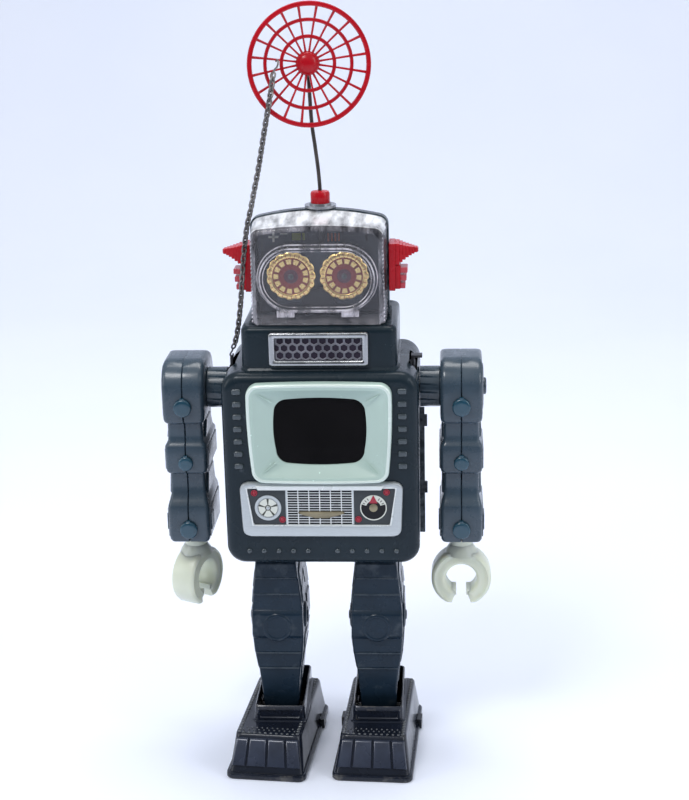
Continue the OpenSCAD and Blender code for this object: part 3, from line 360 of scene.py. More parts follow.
for n in ("bottom_plate", "side_plate_left", "side_plate_right", "motor_plate_front", "motor_plate_back", "motor_pillars",
          "hip_axle", "antenna_bushing", "key_arbor", "crankshaft"):
    cad(n, STEEL)
for n in ("great_wheel", "second_wheel", "third_wheel", "governor_fan", "drum_idler"):
    cad(n, BRASS)
for n in ("left_eye_gear", "right_eye_gear"):
    cad(n, BLACKP)
cad("chain_hook", DARKST); cad("stop_lever", DARKST, bevel=0.25)
cad("mainspring", SPRING); cad("scene_drum", CARD)
cad("left_rollers", RUBBER); cad("right_rollers", RUBBER)
# ------------------------------------------------------------------ chest
HW, HD, Z0, Z1 = 47.0, 33.0, 110.0, 207.0
def chest_half(sg):
    R = 4.6; nn, mm = 10, 12
    def ring(ins, y): return xz(rr(HW - ins, HW - ins, Z0 + ins, Z1 - ins, max(9 - ins * 0.7, 3), 0, nn, mm), y * sg)
    rings = [ring(1.0, 3.0), ring(1.0, 0.0), ring(0.0, 0.0)] + [ring(0, y) for y in (3, 7.5, 12, 20, 27, HD - R)]
    for k in range(1, 9):
        a = k * pi / 16
        rings.append(ring(R * (1 - math.cos(a)), HD - R + R * math.sin(a)))
    if sg < 0:
        op = rr(28.5, 29.5, 157, 199.5, 5, 0.6, nn, mm)
        rings += [xz(blend2([(p[0], p[2]) for p in rings[-1]], op, 0.5), -HD), xz(op, -HD), xz(op, -HD + 1)]
    else:
        last = [(p[0], p[2]) for p in rings[-1]]
        circ = [(2.6 * math.cos(a), 146 + 2.6 * math.sin(a)) for a in [math.atan2(z - 146, x) for x, z in last]]
        rings += [xz(blend2(last, circ, 0.5), HD), xz(circ, HD), xz(circ, HD - 1)]
    def keep(c):
        x, y, z = abs(c[0]), abs(c[1]), c[2]
        if z < 112 and x < 38 and y < 27: return False
        if x > 45.5 and y < 3.2 and abs(z - 190.9) < 4.2: return False
        if z > 198.5 and 42.5 < x < 45.7 and y < 12: return False
        return True
    return loft(rings, keep=keep)
from_vf("front_shell_tin", *chest_half(-1), BODY, "chest", nodes="front_shell", slot="body_enamel", smooth=38)
# pressed dashes and dimples take a lighter, glossier copy of the body enamel: painted highlight on the pressings
DASH_HIGHLIGHT = enamel("enamel_pressed_painted_highlight", (0.035, 0.050, 0.060), rough=0.20, metal=0.2, var=0.1, coat=0.5, spec=0.6, specks=False)
dsh = []
def pillow(hx, z0, z1, cx, h, r=0.9):
    f = lambda i: rr(hx - i, hx - i, z0 + i, z1 - i, max(r - i, 0.25), 0, 5, 1, cx)
    return loft([xz(f(0), -HD + 0.03), xz(f(0.05), -HD - 0.25 * h), xz(f(0.25), -HD - 0.75 * h), xz(f(0.6), -HD - h), xz(f(0.8), -HD - h)], cap1=True)
for s in (-1, 1):
    for i in range(7):
        z = 198.4 - 6.2 * i; x = s * 39.2
        dsh.append(pillow(2.25, z - 1.7, z + 1.3, x, 1.0))
    for i in range(1, 6):
        dsh.append(lathe([(1.35, -HD + 0.02), (1.25, -HD - 0.5), (0.95, -HD - 0.95), (0.5, -HD - 1.15), (0.02, -HD - 1.2)], (s * 7.15 * i, 0, 117.4), "y", 20))
from_vf("pressed_dashes", *joinvf(*dsh), DASH_HIGHLIGHT, "chest", slot="body_enamel", smooth=60)
pan = []
for (h0, za, zb, yy) in ((32, 158, 198, 0.0), ):
    o_ = rr(h0, h0, za, zb, 5, 0, 8, 2); i_ = rr(h0 - 3, h0 - 3, za + 3, zb - 3, 4, 0, 8, 2)
    pan.append(loft([xz(o_, HD - 0.02), xz(rr(h0 - .7, h0 - .7, za + .7, zb - .7, 4.6, 0, 8, 2), HD + 0.62), xz(rr(h0 - 2.2, h0 - 2.2, za + 2.2, zb - 2.2, 4.2, 0, 8, 2), HD + 0.62), xz(i_, HD - 0.02)]))
for i in range(6):   # pressed louvres inside the back panel
    z = 165 + i * 5.2
    pan.append(loft([xz(rr(20, 20, z - 1.3, z + 1.3, 1.2, 0, 4, 1), HD - 0.02), xz(rr(19.4, 19.4, z - 0.7, z + 0.7, 0.65, 0, 4, 1), HD + 0.5)], cap1=True))
for s in (-1, 1):
    for zz in (116.5, 201.5):
        pan.append(lathe([(2.6, HD - 0.02), (2.5, HD + 0.5), (1.9, HD + 0.65), (0.02, HD + 0.68)], (s * 40, 0, zz), "y", 20))
pan.append(lathe([(7.5, HD - 0.02), (7.2, HD + 0.35), (4.2, HD + 0.45), (2.7, HD + 0.1)], (0, 0, 146), "y", 32))
from_vf("back_shell_tin", *joinvf(chest_half(1), *pan), BODY, "chest", nodes="back_shell", slot="body_enamel", smooth=38)
fl = []
for s in (-1, 1):
    fl.append(boxvf(min(s * 46.8, s * 49.3), max(s * 46.8, s * 49.3), 0.05, 1.0, 114, 180))
    for z in (138, 173): fl.append(boxvf(min(s * 48, s * 50.6), max(s * 48, s * 50.6), 0.2, 1.8, z - 3, z + 3))
from_vf("seam_flanges", *joinvf(*fl), BODY, "chest", bevel=0.25, seg=2, slot="body_enamel")
# dark slots in the shoulders, where lever and hook come through
sl = []
for s, y0, y1 in ((1, -11.5, 11.5), (-1, -9.8, -3.4)):
    sl.append(prism([(s * 42.9, 203.2), (s * 45.5, 201.0), (s * 45.0, 200.4), (s * 42.5, 202.5)], "y", y0, y1))
from_vf("slot_shadows", *joinvf(*sl), BLACKP, "chest")

# ------------------------------------------------------------------ television
outer = lambda i: rr(32.9 - i, 34.5 - i, 153.6 + i, 202.7 - i, max(6 - i * 0.7, 2), 0.55, 8, 12)
opening = lambda i: rr(21.4 - i, 22.0 - i, 162.0 + i, 194.6 - i, 6.6 - i * 0.5, 0.75, 8, 12)
rings = [xz(outer(0), -32.95), xz(outer(0), -36.1), xz(outer(0.15), -36.7), xz(outer(0.5), -37.15), xz(outer(1.1), -37.4), xz(outer(2.2), -37.45), xz(outer(3.1), -37.3)]
for k in range(1, 13):
    t = k / 12.0
    rings.append(xz(blend2(outer(3.1), opening(0), t), -37.3 + 4.6 * (t ** 0.9)))
rings += [xz(opening(0.2), -32.6), xz(opening(0.25), -31.9)]
from_vf("tv_surround", *loft(rings), MINT, "chest", nodes="tv_bezel", slot="bezel_mint", smooth=40)
cad("tv_window", SMOKED)
# mitre creases of the surround and its rolled rim, the rim in a lighter, glossier mint as painted highlight
mt = []
for sx in (-1, 1):
    for (oz, iz, ox, ix) in ((198.6, 190.8, 30.0, 18.6), (157.4, 165.6, 28.6, 18.4)):
        a = (sx * ox, -36.95, oz); c = (sx * (ox + (ix - ox) * 0.72), -34.35, oz + (iz - oz) * 0.72)
        mt.append(tube([a, tuple((a[k] + c[k]) / 2 + (0, -0.18, 0)[k] for k in range(3)), c], 0.2, 8))
# lighter copy of the mint enamel for the rim bead: painted highlight
MINT_RIM_HIGHLIGHT = enamel("enamel_mint_rim_painted_highlight", (0.66, 0.76, 0.70), rough=0.22, metal=0.1, var=0.06, coat=0.6, spec=0.5, specks=False)
from_vf("tv_mitres", *joinvf(*mt), MINT, "chest", smooth=60)
from_vf("tv_rim_bead", *loft([xz(outer(0.15), -36.6), xz(outer(0.35), -37.35), xz(outer(0.9), -37.75), xz(outer(1.5), -37.7), xz(outer(1.9), -37.3), xz(outer(1.9), -37.0)]), MINT_RIM_HIGHLIGHT, "chest", smooth=60)

# ------------------------------------------------------------------ control plate and printed panel
c0 = (0.0, 140.0); NP = 176
po = lambda i: polar(rr(38.4 - i, 39.2 - i, 125.6 + i, 153.2 - i, 4 - i * 0.6, 0, 8, 2), c0, NP)
def trap(i): return polar([(33.0 - i, 131.5 + i), (35.9 - i, 150.6 - i), (-35.9 + i, 150.6 - i), (-33.1 + i, 131.5 + i)], c0, NP)
rings = [xz(po(0), -33.0), xz(po(0), -34.7), xz(po(0.35), -35.25), xz(po(1.0), -35.45), xz(blend2(po(1.0), trap(-0.4), 0.85), -35.35), xz(trap(-0.4), -35.3), xz(trap(0), -35.05), xz(trap(0.25), -34.3)]
from_vf("control_frame", *loft(rings), SILVER, "chest", nodes="control_plate", slot="plate_silver", smooth=35)
bar = [(-31.6, 152.0), (-30.4, 149.7), (28.9, 149.7), (30.2, 152.0)]
from_vf("control_bar", *prism(bar, "y", -36.15, -34.5), BRIGHT, "chest", bevel=0.3, slot="plate_silver")
tp = [(-33.4, 131.2), (33.3, 131.2), (36.2, 150.9), (-36.2, 150.9)]
from_vf("control_ground", *prism(tp, "y", -34.62, -34.2), PANEL, "chest", nodes="control_panel", slot="panel_print")
Y1, Y2, Y3, Y4 = -34.74, -34.86, -34.98, -35.1
lo_ = [trap(-0.55), trap(-0.45), trap(0.15), trap(0.2)]
from_vf("panel_outline", *loft([xz(lo_[0], -35.3), xz(lo_[1], -35.55), xz(lo_[2], -35.5), xz(lo_[3], -34.7)]), BRIGHT, "chest", smooth=40)
def disc(cx, cz, r, y0, y1, n=48): return lathe([(r, y0), (r, y1), (0.001, y1)], (cx, 0, cz), "y", n)
def ringvf(cx, cz, r0, r1, y0, y1, n=48, a0=0, a1=360): return lathe([(r0, y0), (r0, y1), (r1, y1), (r1, y0)], (cx, 0, cz), "y", n, a0, a1)
# loudspeaker-like centre grille: pale plate with rows of dark slots
gx0, gx1, gz0, gz1 = -16.7, 15.1, 131.5, 149.4
from_vf("grid_plate", *prism([(gx0, gz0), (gx1, gz0), (gx1, gz1), (gx0, gz1)], "y", -34.76, -34.6), BRIGHT, "chest")
gv = []
cw = (gx1 - gx0 - 0.5) / 6
for i in range(6):
    for j in range(14):
        xa = gx0 + 0.5 + cw * i; za = gz0 + 0.45 + j * 1.262
        gv.append(prism([(xa, za), (xa + cw - 0.5, za), (xa + cw - 0.5, za + 0.84), (xa, za + 0.84)], "y", -34.84, -34.7))
from_vf("grid_slots", *joinvf(*gv), BLACKP, "chest")
from_vf("panel_divider", *joinvf(prism([(gx0 - 0.55, 131.5), (gx0, 131.5), (gx0, 149.6), (gx0 - 0.55, 149.6)], "y", -34.9, -34.6), prism([(gx1, 131.5), (gx1 + 0.55, 131.5), (gx1 + 0.55, 149.6), (gx1, 149.6)], "y", -34.9, -34.6)), SILVER, "chest")
# plain lozenge badge
bd = [(-11.4, 137.9), (-10.6, 138.6), (10.4, 138.6), (11.2, 137.9), (9.4, 136.9), (3.2, 135.2), (-3.2, 135.2), (-9.6, 136.9)]
from_vf("lozenge_badge", *loft([xz(bd, -34.7), xz([(x * 0.99, 137.2 + (z - 137.2) * 0.96) for x, z in bd], -35.3), xz([(x * 0.90, 137.2 + (z - 137.2) * 0.45) for x, z in bd], -35.75)], cap1=True), BRONZE, "chest", smooth=20)
# left dial: pale disc with five slots round a hub
lx, lz = -25.8, 140.4
from_vf("dial_left_rim", *joinvf(ringvf(lx, lz, 6.4, 5.1, -34.6, -35.15, 56), ringvf(lx, lz, 4.95, 4.75, -34.6, -35.0, 56)), SILVER, "chest")
from_vf("dial_left_face", *disc(lx, lz, 5.8, -34.6, Y1), OLIVE, "chest")
wd = []
for k in range(5):
    a0 = 90 + 72 * k + 10; wd.append(ringvf(lx, lz, 4.6, 1.5, Y1, Y3, 10, a0 - 2, a0 + 56))
from_vf("dial_left_wedges", *joinvf(*wd), WHITE, "chest")
from_vf("dial_left_hub", *lathe([(1.0, -34.6), (1.0, -35.1), (0.7, -35.35), (0.01, -35.4)], (lx, 0, lz), "y", 28), SILVER, "chest", smooth=50)
# right dial: black disc, pale scale, red pointer
rx, rz = 25.0, 140.4
from_vf("dial_right_rim", *ringvf(rx, rz, 6.4, 5.9, -34.6, Y3, 56), WHITE, "chest")
from_vf("dial_right_face", *disc(rx, rz, 6.0, -34.6, Y1), BLACKP, "chest")
from_vf("dial_right_scale", *ringvf(rx, rz, 6.0, 3.6, Y1, Y2, 40, 18, 162), WHITE, "chest")
tk = []
for k in range(9):
    a = math.radians(26 + 16 * k)
    if 3 <= k <= 5: continue
    u = (math.cos(a), math.sin(a)); p_ = (-u[1], u[0])
    q = [(rx + u[0] * r + p_[0] * w, rz + u[1] * r + p_[1] * w) for r, w in ((4.4, -0.16), (5.6, -0.16), (5.6, 0.16), (4.4, 0.16))]
    tk.append(prism(q, "y", Y3, Y2))
from_vf("dial_right_ticks", *joinvf(*tk), BLACKP, "chest")
from_vf("dial_right_pointer", *prism([(rx - 2.0, rz + 2.4), (rx + 2.0, rz + 2.4), (rx + 0.1, rz + 6.4), (rx - 0.1, rz + 6.4)], "y", Y4, Y2), REDP, "chest")
from_vf("dial_right_hub", *lathe([(2.0, -34.6), (2.0, -35.05), (1.5, -35.3), (0.01, -35.35)], (rx, 0, rz), "y", 32), BRONZE, "chest", smooth=50)
rd, rk = [], []
for cx, cz in ((-32.3, 147.9), (-19.0, 134.3), (17.7, 134.5), (31.4, 148.3)):
    rk.append(lathe([(1.6, -34.6), (1.55, -34.95), (1.15, -34.95), (1.1, -34.8)], (cx, 0, cz), "y", 24)); rd.append(lathe([(0.95, -34.6), (0.9, -34.95), (0.5, -35.15), (0.01, -35.2)], (cx, 0, cz), "y", 24))
from_vf("pilot_grounds", *joinvf(*[disc(q[0], q[1], 1.75, -34.6, -34.7, 24) for q in ((-32.3, 147.9), (-19.0, 134.3), (17.7, 134.5), (31.4, 148.3))]), BLACKP, "chest"); from_vf("pilot_rings", *joinvf(*rk), REDP, "chest"); from_vf("pilot_lamps", *joinvf(*rd), REDP, "chest", smooth=60)

# ------------------------------------------------------------------ neck and loudspeaker
def nb(i, z, y0=-27, y1=28): return xy(rr(37 - i, 37 - i, y0 + i, y1 - i, max(4.5 - i * 0.6, 2), 0, 8, 2), z)
rings = [nb(-0.9, 207.0), nb(-0.6, 207.5), nb(0.0, 208.2), nb(0, 224.9)] + [nb(2.6 * (1 - math.cos(k * pi / 12)), 225.4 + 2.6 * math.sin(k * pi / 12)) for k in range(1, 7)]
rings += [xy(rr(33.6, 33.6, -24.6, 24.6, 3, 0, 8, 2), 228.0), xy(rr(33.0, 33.0, -24.2, 24.2, 3, 0, 8, 2), 227.6), xy(rr(28, 28, -19, 19, 3, 0, 8, 2), 227.4), xy(rr(28, 28, -19, 19, 3, 0, 8, 2), 225.5)]
from_vf("neck_tin", *loft(rings), BODY, "chest", nodes="neck_box", slot="body_enamel", smooth=40)
fo = lambda i: rr(23.5 - i, 23.5 - i, 209.4 + i, 225.7 - i, max(1.4 - i * 0.3, 0.5), 0, 5, 2)
from_vf("grille_rim", *loft([xz(fo(0), -27.0), xz(fo(0), -28.9), xz(fo(0.25), -29.3), xz(fo(0.8), -29.5), xz(fo(2.0), -29.45), xz(fo(2.6), -29.1), xz(fo(2.95), -28.5), xz(fo(2.95), -27.2)]), CHROME, "chest", nodes="grille_frame", slot="grille_chrome", smooth=45)
VIOLET = enamel("print_violet", (0.030, 0.022, 0.038), rough=0.5, metal=0.0, var=0.4, coat=0.0, spec=0.2)
from_vf("grille_back", *prism([(-20.4, 212.2), (20.4, 212.2), (20.4, 223.1), (-20.4, 223.1)], "y", -27.3, -27.04), VIOLET, "chest")
MESHM = metal("grille_weave", (0.30, 0.30, 0.345), 0.34, var=0.3, metallic=0.6)
cells = []
pit = 4.05; ph_ = 3.55
for row in range(-1, 6):
    for col in range(-1, 12):
        cx_ = -20.25 + pit * (col + (0.5 if row % 2 else 0)); cz_ = 210.9 + ph_ * row
        hexo = [(cx_ + pit / 2 / math.cos(pi / 6) * math.sin(pi / 3 * q), cz_ + pit / 2 / math.cos(pi / 6) * math.cos(pi / 3 * q)) for q in range(6)]
        hexi = [(cx_ + (p_[0] - cx_) * 0.78, cz_ + (p_[1] - cz_) * 0.78) for p_ in hexo]
        cl = lambda o: [(min(20.6, max(-20.6, x)), min(223.3, max(212.0, z))) for x, z in o]
        if max(z for x, z in hexo) < 212.2 or min(z for x, z in hexo) > 223.1 or max(x for x, z in hexo) < -20.4 or min(x for x, z in hexo) > 20.4: continue
        cells.append(loft([xz(cl(hexo), -28.0), xz(cl([(cx_ + (p_[0] - cx_) * 0.90, cz_ + (p_[1] - cz_) * 0.90) for p_ in hexo]), -28.25), xz(cl(hexi), -28.0), xz(cl(hexi), -27.35)]))
from_vf("grille_weave_mesh", *joinvf(*cells), MESHM, "chest", nodes="grille_mesh", slot="mesh_dark", smooth=30)

# ------------------------------------------------------------------ head
hc = (0.0, 250.0); NH = 168
def hp(hw, z0, z1, dome, r):
    pts = arc(hw - r, z1 - r, r, 0, 78, 8)
    x0 = pts[-1][0]; zz = pts[-1][1]
    top = []
    for k in range(1, 16):
        t = k / 16.0; x = x0 * (1 - 2 * t); top.append((x, zz + (z1 + dome - zz) * (1 - (x / x0) ** 2)))
    L = [(-x, z) for x, z in reversed(pts)]
    return polar(pts + top + L + [(-hw, z0), (hw, z0)], hc, NH)
h1 = [(33.0, 276.8, 3.2, 5.0), (33.0, 276.8, 3.2, 5.0)]
rings = [xz(hp(32.0, 228, 275.8, 3.2, 4.2), -2), xz(hp(32.0, 228, 275.8, 3.2, 4.2), -3.9), xz(hp(32.4, 228, 276.3, 3.2, 4.6), -4.05), xz(hp(33.0, 228, 276.8, 3.2, 5), -3.8)]
for y in (-2, 1, 5, 9, 13, 17, 20):
    t = max(0, (y - 1) / 22.5)
    rings.append(xz(hp(33.0 - 0.9 * t, 228, 276.8 - 9.6 * t ** 1.35, 3.2 - 1.2 * t, 5 + t), y))
for k in range(1, 7):
    a = k * pi / 12; i = 3.6 * (1 - math.cos(a)); t = (20 + 3.6 * math.sin(a) - 1) / 22.5
    rings.append(xz(hp(33.0 - 0.9 * t - i, 228, 276.8 - 9.6 * min(1, t) ** 1.35 - i, 2.0, 5), 20 + 3.6 * math.sin(a) + 0.3))
V_, F_ = loft(rings, cap1=True)
from_vf("head_tin", V_, F_, BODY, "chest", nodes="head_shell", slot="body_enamel", smooth=40)
# clear visor: back rim, sides, rolled front edge, front face and raised goggle
hs = [xz(hp(32.3, 228.3, 276.2, 3.1, 4.6), -4.35)]
for y in (-7, -10, -13, -16, -18.5, -20.5):
    t = (y + 4.35) / (-20.5 + 4.35); hs.append(xz(hp(32.3 - 0.9 * t, 228.3, 276.2 - 2.0 * t, 3.1 - 1.5 * t, 4.6), y))
for k in range(1, 7):
    a = k * pi / 12; i = 2.6 * (1 - math.cos(a)); hs.append(xz(hp(31.4 - i, 228.3, 274.2 - i, 1.6, 4.4 - i * 0.5), -20.9 - 3.0 * math.sin(a)))
st = lambda i: polar(rr(27.8 - i, 27.8 - i, 235.1 + i, 266.3 - i, 15.55 - i, 0, 14, 2), hc, NH)
front = [(p[0], p[2]) for p in hs[-1]]
V_, F_ = loft(hs)
me_i = len(F_)
mid = []
for q in F_:
    zc = sum(V_[i][2] for i in q) / 4; xc = sum(V_[i][0] for i in q) / 4; yc = sum(V_[i][1] for i in q) / 4
    mid.append(0 if (zc > 270.6 and abs(xc) < 31.6 and yc > -22.6) else (1 if zc < 240 or abs(xc) > 29 else 1))
# the top faces take the bright painted sky reflection, the other faces the dim painted reflection streaks
FM = [VISOR_TOP_SKY_REFLECTION, VISOR_SIDE_REFLECTION_STREAKS]
bm_f = [q for q, i in zip(F_, mid) if i == 0]; bs_f = [q for q, i in zip(F_, mid) if i == 1]
from_vf("visor_hood_top", V_, bm_f, VISOR_TOP_SKY_REFLECTION, "chest", smooth=60, slot="clear_visor")
from_vf("visor_hood", V_, bs_f, VISOR_SIDE_REFLECTION_STREAKS, "chest", smooth=60, slot="clear_visor")
V_, F_ = loft([xz(front, -23.9), xz(blend2(front, st(-1.0), 0.6), -24.0), xz(st(-0.9), -24.0), xz(st(-0.3), -24.25), xz(st(0.0), -24.9), xz(st(0.15), -26.2), xz(st(0.5), -26.9), xz(st(1.1), -27.15), xz(st(1.7), -26.95), xz(st(2.1), -26.4), xz(st(3.0), -26.2), xz(st(7.0), -26.3), xz(st(13.5), -26.35)], cap1=True)
from_vf("visor_front", V_, F_, CLEAR, "chest", nodes="visor", slot="clear_visor", smooth=60)
# goggle rims, edge beads and clips: clear plastic with white painted glints from the painted-reflection material
CLEAR_RIM_GLINT = clear_with_painted_reflection("plastic_clear_rim_painted_glint", (0.80, 0.76, 0.82), 0.10, 0.72)
rimv = []
for i0, i1, ya, yb in ((-0.75, -0.1, -24.02, -24.6), (0.55, 1.35, -26.95, -27.2), (2.1, 2.6, -26.3, -26.6)):
    rimv.append(loft([xz(st(i0), ya + 0.05), xz(st(i0 + 0.1), yb), xz(st(i1 - 0.1), yb), xz(st(i1), ya + 0.05)]))
from_vf("goggle_rims", *joinvf(*rimv), CLEAR_RIM_GLINT, "chest", smooth=60)
# wavy moulded edge down the visor's front corners
zg = []
for s in (-1, 1):
    for k in range(22):
        z = 229.5 + k * 1.95; x = s * (31.2 - 0.012 * (z - 229))
        zg.append(prism([(x - 0.35, z), (x + 0.35, z + 0.5), (x + 0.35, z + 1.25), (x - 0.35, z + 0.9)], "y", -23.2, -22.4))
from_vf("visor_edge_beads", *joinvf(*zg), CLEAR_RIM_GLINT, "chest", bevel=0.15, seg=2)
for s, nm in ((-1, "right"), (1, "left")):
    from_vf("visor_clip_" + nm, *joinvf(boxvf(s * 15.2 - 4.2, s * 15.2 + 4.2, -25.4, -24.05, 232.3, 235.5), boxvf(s * 15.2 - 3.0, s * 15.2 + 3.0, -25.9, -25.3, 233.2, 234.8)), CLEAR_RIM_GLINT, "chest", bevel=0.45, seg=3)
# printed board behind the eyes
from_vf("board_tin", *joinvf(boxvf(-30.4, 30.4, 4, 5, 228.2, 271.5), boxvf(-20, 20, -14.2, 4.4, 236, 237), boxvf(-20, 20, -14.2, -13.2, 237.02, 262)), BOARD, "chest", nodes="face_board", bevel=0.3, seg=2, slot="board_print")
from_vf("eye_bracket", *prism([(-8.4, 236.2), (8.4, 236.2), (7.0, 240.5), (2.6, 244.2), (-2.6, 244.2), (-7.0, 240.5)], "y", -18, -14.1), BLACKP, "chest", bevel=0.6)
for s, nm in ((-1, "right"), (1, "left")):
    from_vf("eye_bush_" + nm, *lathe([(1.3, -14.6), (2.6, -14.6), (2.6, -9.6), (1.3, -9.6)], (s * 12.5, 0, 251.2), "y", 28), STEEL, "chest")
# print on the board: plain marks, bars and a meter outline
def mark(nm, pts, mat, y0=3.98, y1=3.86): from_vf(nm, *joinvf(*[prism(p, "y", y1, y0) for p in pts]), mat, "chest")
B4 = lambda x0, x1, z0, z1: [(x0, z0), (x1, z0), (x1, z1), (x0, z1)]
mark("print_meter", [B4(10.5, 22.5, 269.0, 269.9), B4(21.6, 22.5, 262.5, 269.0), B4(10.5, 11.3, 266.8, 269.0)], BLACKP)
mark("print_bars_ochre", [B4(3.2 + 1.7 * k, 4.2 + 1.7 * k, 262.6, 266.6) for k in range(4)], OCHRE)
mark("print_block_lime", [B4(-13.8, -9.6, 263.2, 266.8), B4(-8.8, -7.6, 263.2, 266.8)], LIME)
mark("print_cross", [B4(-25.2, -20.4, 264.4, 265.4), B4(-23.3, -22.3, 262.4, 267.4), B4(-19.6, -16.0, 266.2, 266.7)], WHITE)
mark("print_lines", [B4(-28.8, -28.0, 232, 268), B4(27.8, 28.6, 232, 268), B4(-27, 27, 232.5, 233.0), B4(11, 19, 264.9, 265.4)], PANEL)
# eyes
def eye_vis(s, nm):
    cx, cz = s * 12.5, 251.2; body = nm + "_eye_wheel"
    def scal(r, dr, ph=0.0): return [((r + dr * abs(math.cos(a * 7.5 + ph))) * math.cos(a) + cx, (r + dr * abs(math.cos(a * 7.5 + ph))) * math.sin(a) + cz) for a in [2 * pi * k / 180 for k in range(180)]]
    circ = lambda r: [(cx + r * math.cos(2 * pi * k / 180), cz + r * math.sin(2 * pi * k / 180)) for k in range(180)]
    v, f = loft([xz(scal(10.5, 0.6), -20.2), xz(scal(11.0, 0.62), -20.3), xz(scal(11.0, 0.62), -20.9), xz(scal(10.6, 0.5), -21.4), xz(circ(9.7), -21.7), xz(circ(8.9), -21.5), xz(circ(8.7), -21.3), xz(circ(2.0), -21.3)])
    a = joinvf((v, f), lathe([(1.2, -14.7), (1.2, -6.0)], (cx, 0, cz), "y", 20), lathe([(2.4, -20.2), (2.4, -15.2), (1.2, -15.2)], (cx, 0, cz), "y", 24), lathe([(10.4, -20.2), (2.2, -20.2)], (cx, 0, cz), "y", 60))
    from_vf(nm + "_eye_gold", *a, GOLD, body, nodes=nm + "_eye", slot="eye_gold", smooth=40)
    # radial ribs of the outer rim
    rb = []
    for k in range(30):
        t = 2 * pi * (k + 0.5) / 30; u = (math.cos(t), math.sin(t)); n = (-u[1], u[0])
        rb.append(prism([(cx + u[0] * r + n[0] * w, cz + u[1] * r + n[1] * w) for r, w in ((9.1, -.12), (10.9, -.18), (10.9, .18), (9.1, .12))], "y", -21.75, -21.4))
    from_vf(nm + "_eye_ribs", *joinvf(*rb), OCHRE, body)
    from_vf(nm + "_eye_red", *lathe([(8.85, -21.25), (8.85, -21.45), (1.2, -21.6)], (cx, 0, cz), "y", 60), EYERED, body)
    pt = []
    for k in range(13):
        a0 = 360 / 13 * k + 4.2 + (9 if s > 0 else 0)
        pt.append(lathe([(8.3, -21.4), (8.2, -21.85), (5.9, -21.8), (5.8, -21.45)], (cx, 0, cz), "y", 4, a0, a0 + 19))
    from_vf(nm + "_eye_petals", *joinvf(*pt), GOLD, body, smooth=25)
    from_vf(nm + "_eye_dark", *lathe([(3.4, -21.55), (3.2, -21.75), (1.0, -21.8)], (cx, 0, cz), "y", 40), EYEDARK, body)
    from_vf(nm + "_eye_hub", *lathe([(1.35, -21.5), (1.35, -22.6), (1.0, -22.9), (0.45, -22.95), (0.4, -22.7), (0.01, -22.7)], (cx, 0, cz), "y", 24), DARKST, body, smooth=40)
eye_vis(1, "left"); eye_vis(-1, "right")
# ears
def ear_vis(s, nm):
    P = []
    def bx(x0, x1, hy, z0, z1, yc=0.0): P.append(boxvf(min(s * x0, s * x1), max(s * x0, s * x1), yc - hy, yc + hy, z0, z1))
    bx(33.05, 36.0, 6.5, 240.3, 263.2); bx(35.9, 38.4, 5.2, 240.9, 252.6)
    hz = [(35.9, 38.0, 5.8, 252.8, 263.0), (37.9, 39.5, 5.2, 253.9, 262.5), (39.4, 41.0, 4.6, 255.0, 262.0), (40.9, 42.5, 4.0, 256.0, 261.6), (42.4, 43.9, 3.4, 256.8, 261.2), (43.8, 45.2, 2.8, 257.5, 260.9), (45.1, 46.6, 2.1, 258.0, 260.6)]
    for q in hz: bx(*q)
    from_vf(nm + "_ear_plastic", *joinvf(*P), RED, "chest", nodes=nm + "_ear", bevel=0.35, seg=3, slot="red_plastic")
    R_ = []
    for z0, z1, x1 in ((248.6, 251.2, 41.8), (244.8, 247.4, 41.3), (241.0, 243.6, 40.7)):
        R_.append(boxvf(min(s * 38.3, s * x1), max(s * 38.3, s * x1), -4.5, 4.5, z0, z1))
    from_vf(nm + "_ear_ribs", *joinvf(*R_), plastic("plastic_pink_" + nm, (0.50, 0.05, 0.07), rough=0.3, var=0.14, sss=0.1), "chest", bevel=0.4, seg=3)
    from_vf(nm + "_horn_tip", *boxvf(min(s * 46.2, s * 47.0), max(s * 46.2, s * 47.0), -1.6, 1.6, 258.2, 260.3), bpy.data.materials["plastic_pink_" + nm], "chest", bevel=0.3)
ear_vis(1, "left"); ear_vis(-1, "right")
# ------------------------------------------------------------------ antenna
from_vf("antenna_cap_plastic", *lathe([(0.9, 281.9), (4.3, 281.9), (4.6, 282.3), (4.6, 286.6), (4.2, 287.6), (2.2, 288.0), (0.95, 288.0)], (0.6, 0, 0), "z", 40), RED, "antenna", nodes="antenna_cap", slot="red_plastic", smooth=40)
MASTM = metal("steel_mast", (0.085, 0.075, 0.07), 0.34, var=0.35, scratch=0.25)
from_vf("mast_rod", *tube(spline([(0.6, 0, 280.5), (0.6, 0, 288), (0.0, 0, 298), (-1.2, 0, 309), (-2.6, 0, 322), (-3.6, -0.6, 349)], 8), 0.9), MASTM, "antenna", nodes="antenna_mast", slot="plain_steel", smooth=60)
from_vf("mast_stem_inside", *tube([(0.6, 0, 280.6), (0.6, 0, 258.3)], 1.15, 16), DARKST, "antenna", smooth=60)
DC = (-3.4, -3.4, 347.8); DT = 10.0
def dish_place(vf): return shift(turn_z(vf, DT), DC)
dv = []
def rib_ring(r, y, w, h):
    return lathe([(r - w, y), (r - w + 0.25, y - h * 0.8), (r - w / 2, y - h), (r - 0.25, y - h * 0.8), (r, y), (r - 0.25, y + h * 0.45), (r - w + 0.25, y + h * 0.45), (r - w, y)], (0, 0, 0), "y", 120)
dv += [rib_ring(28.6, -8.3, 2.35, 1.3), rib_ring(20.9, -4.9, 1.75, 1.15), rib_ring(13.2, -2.5, 1.75, 1.1)]
NSP = 20
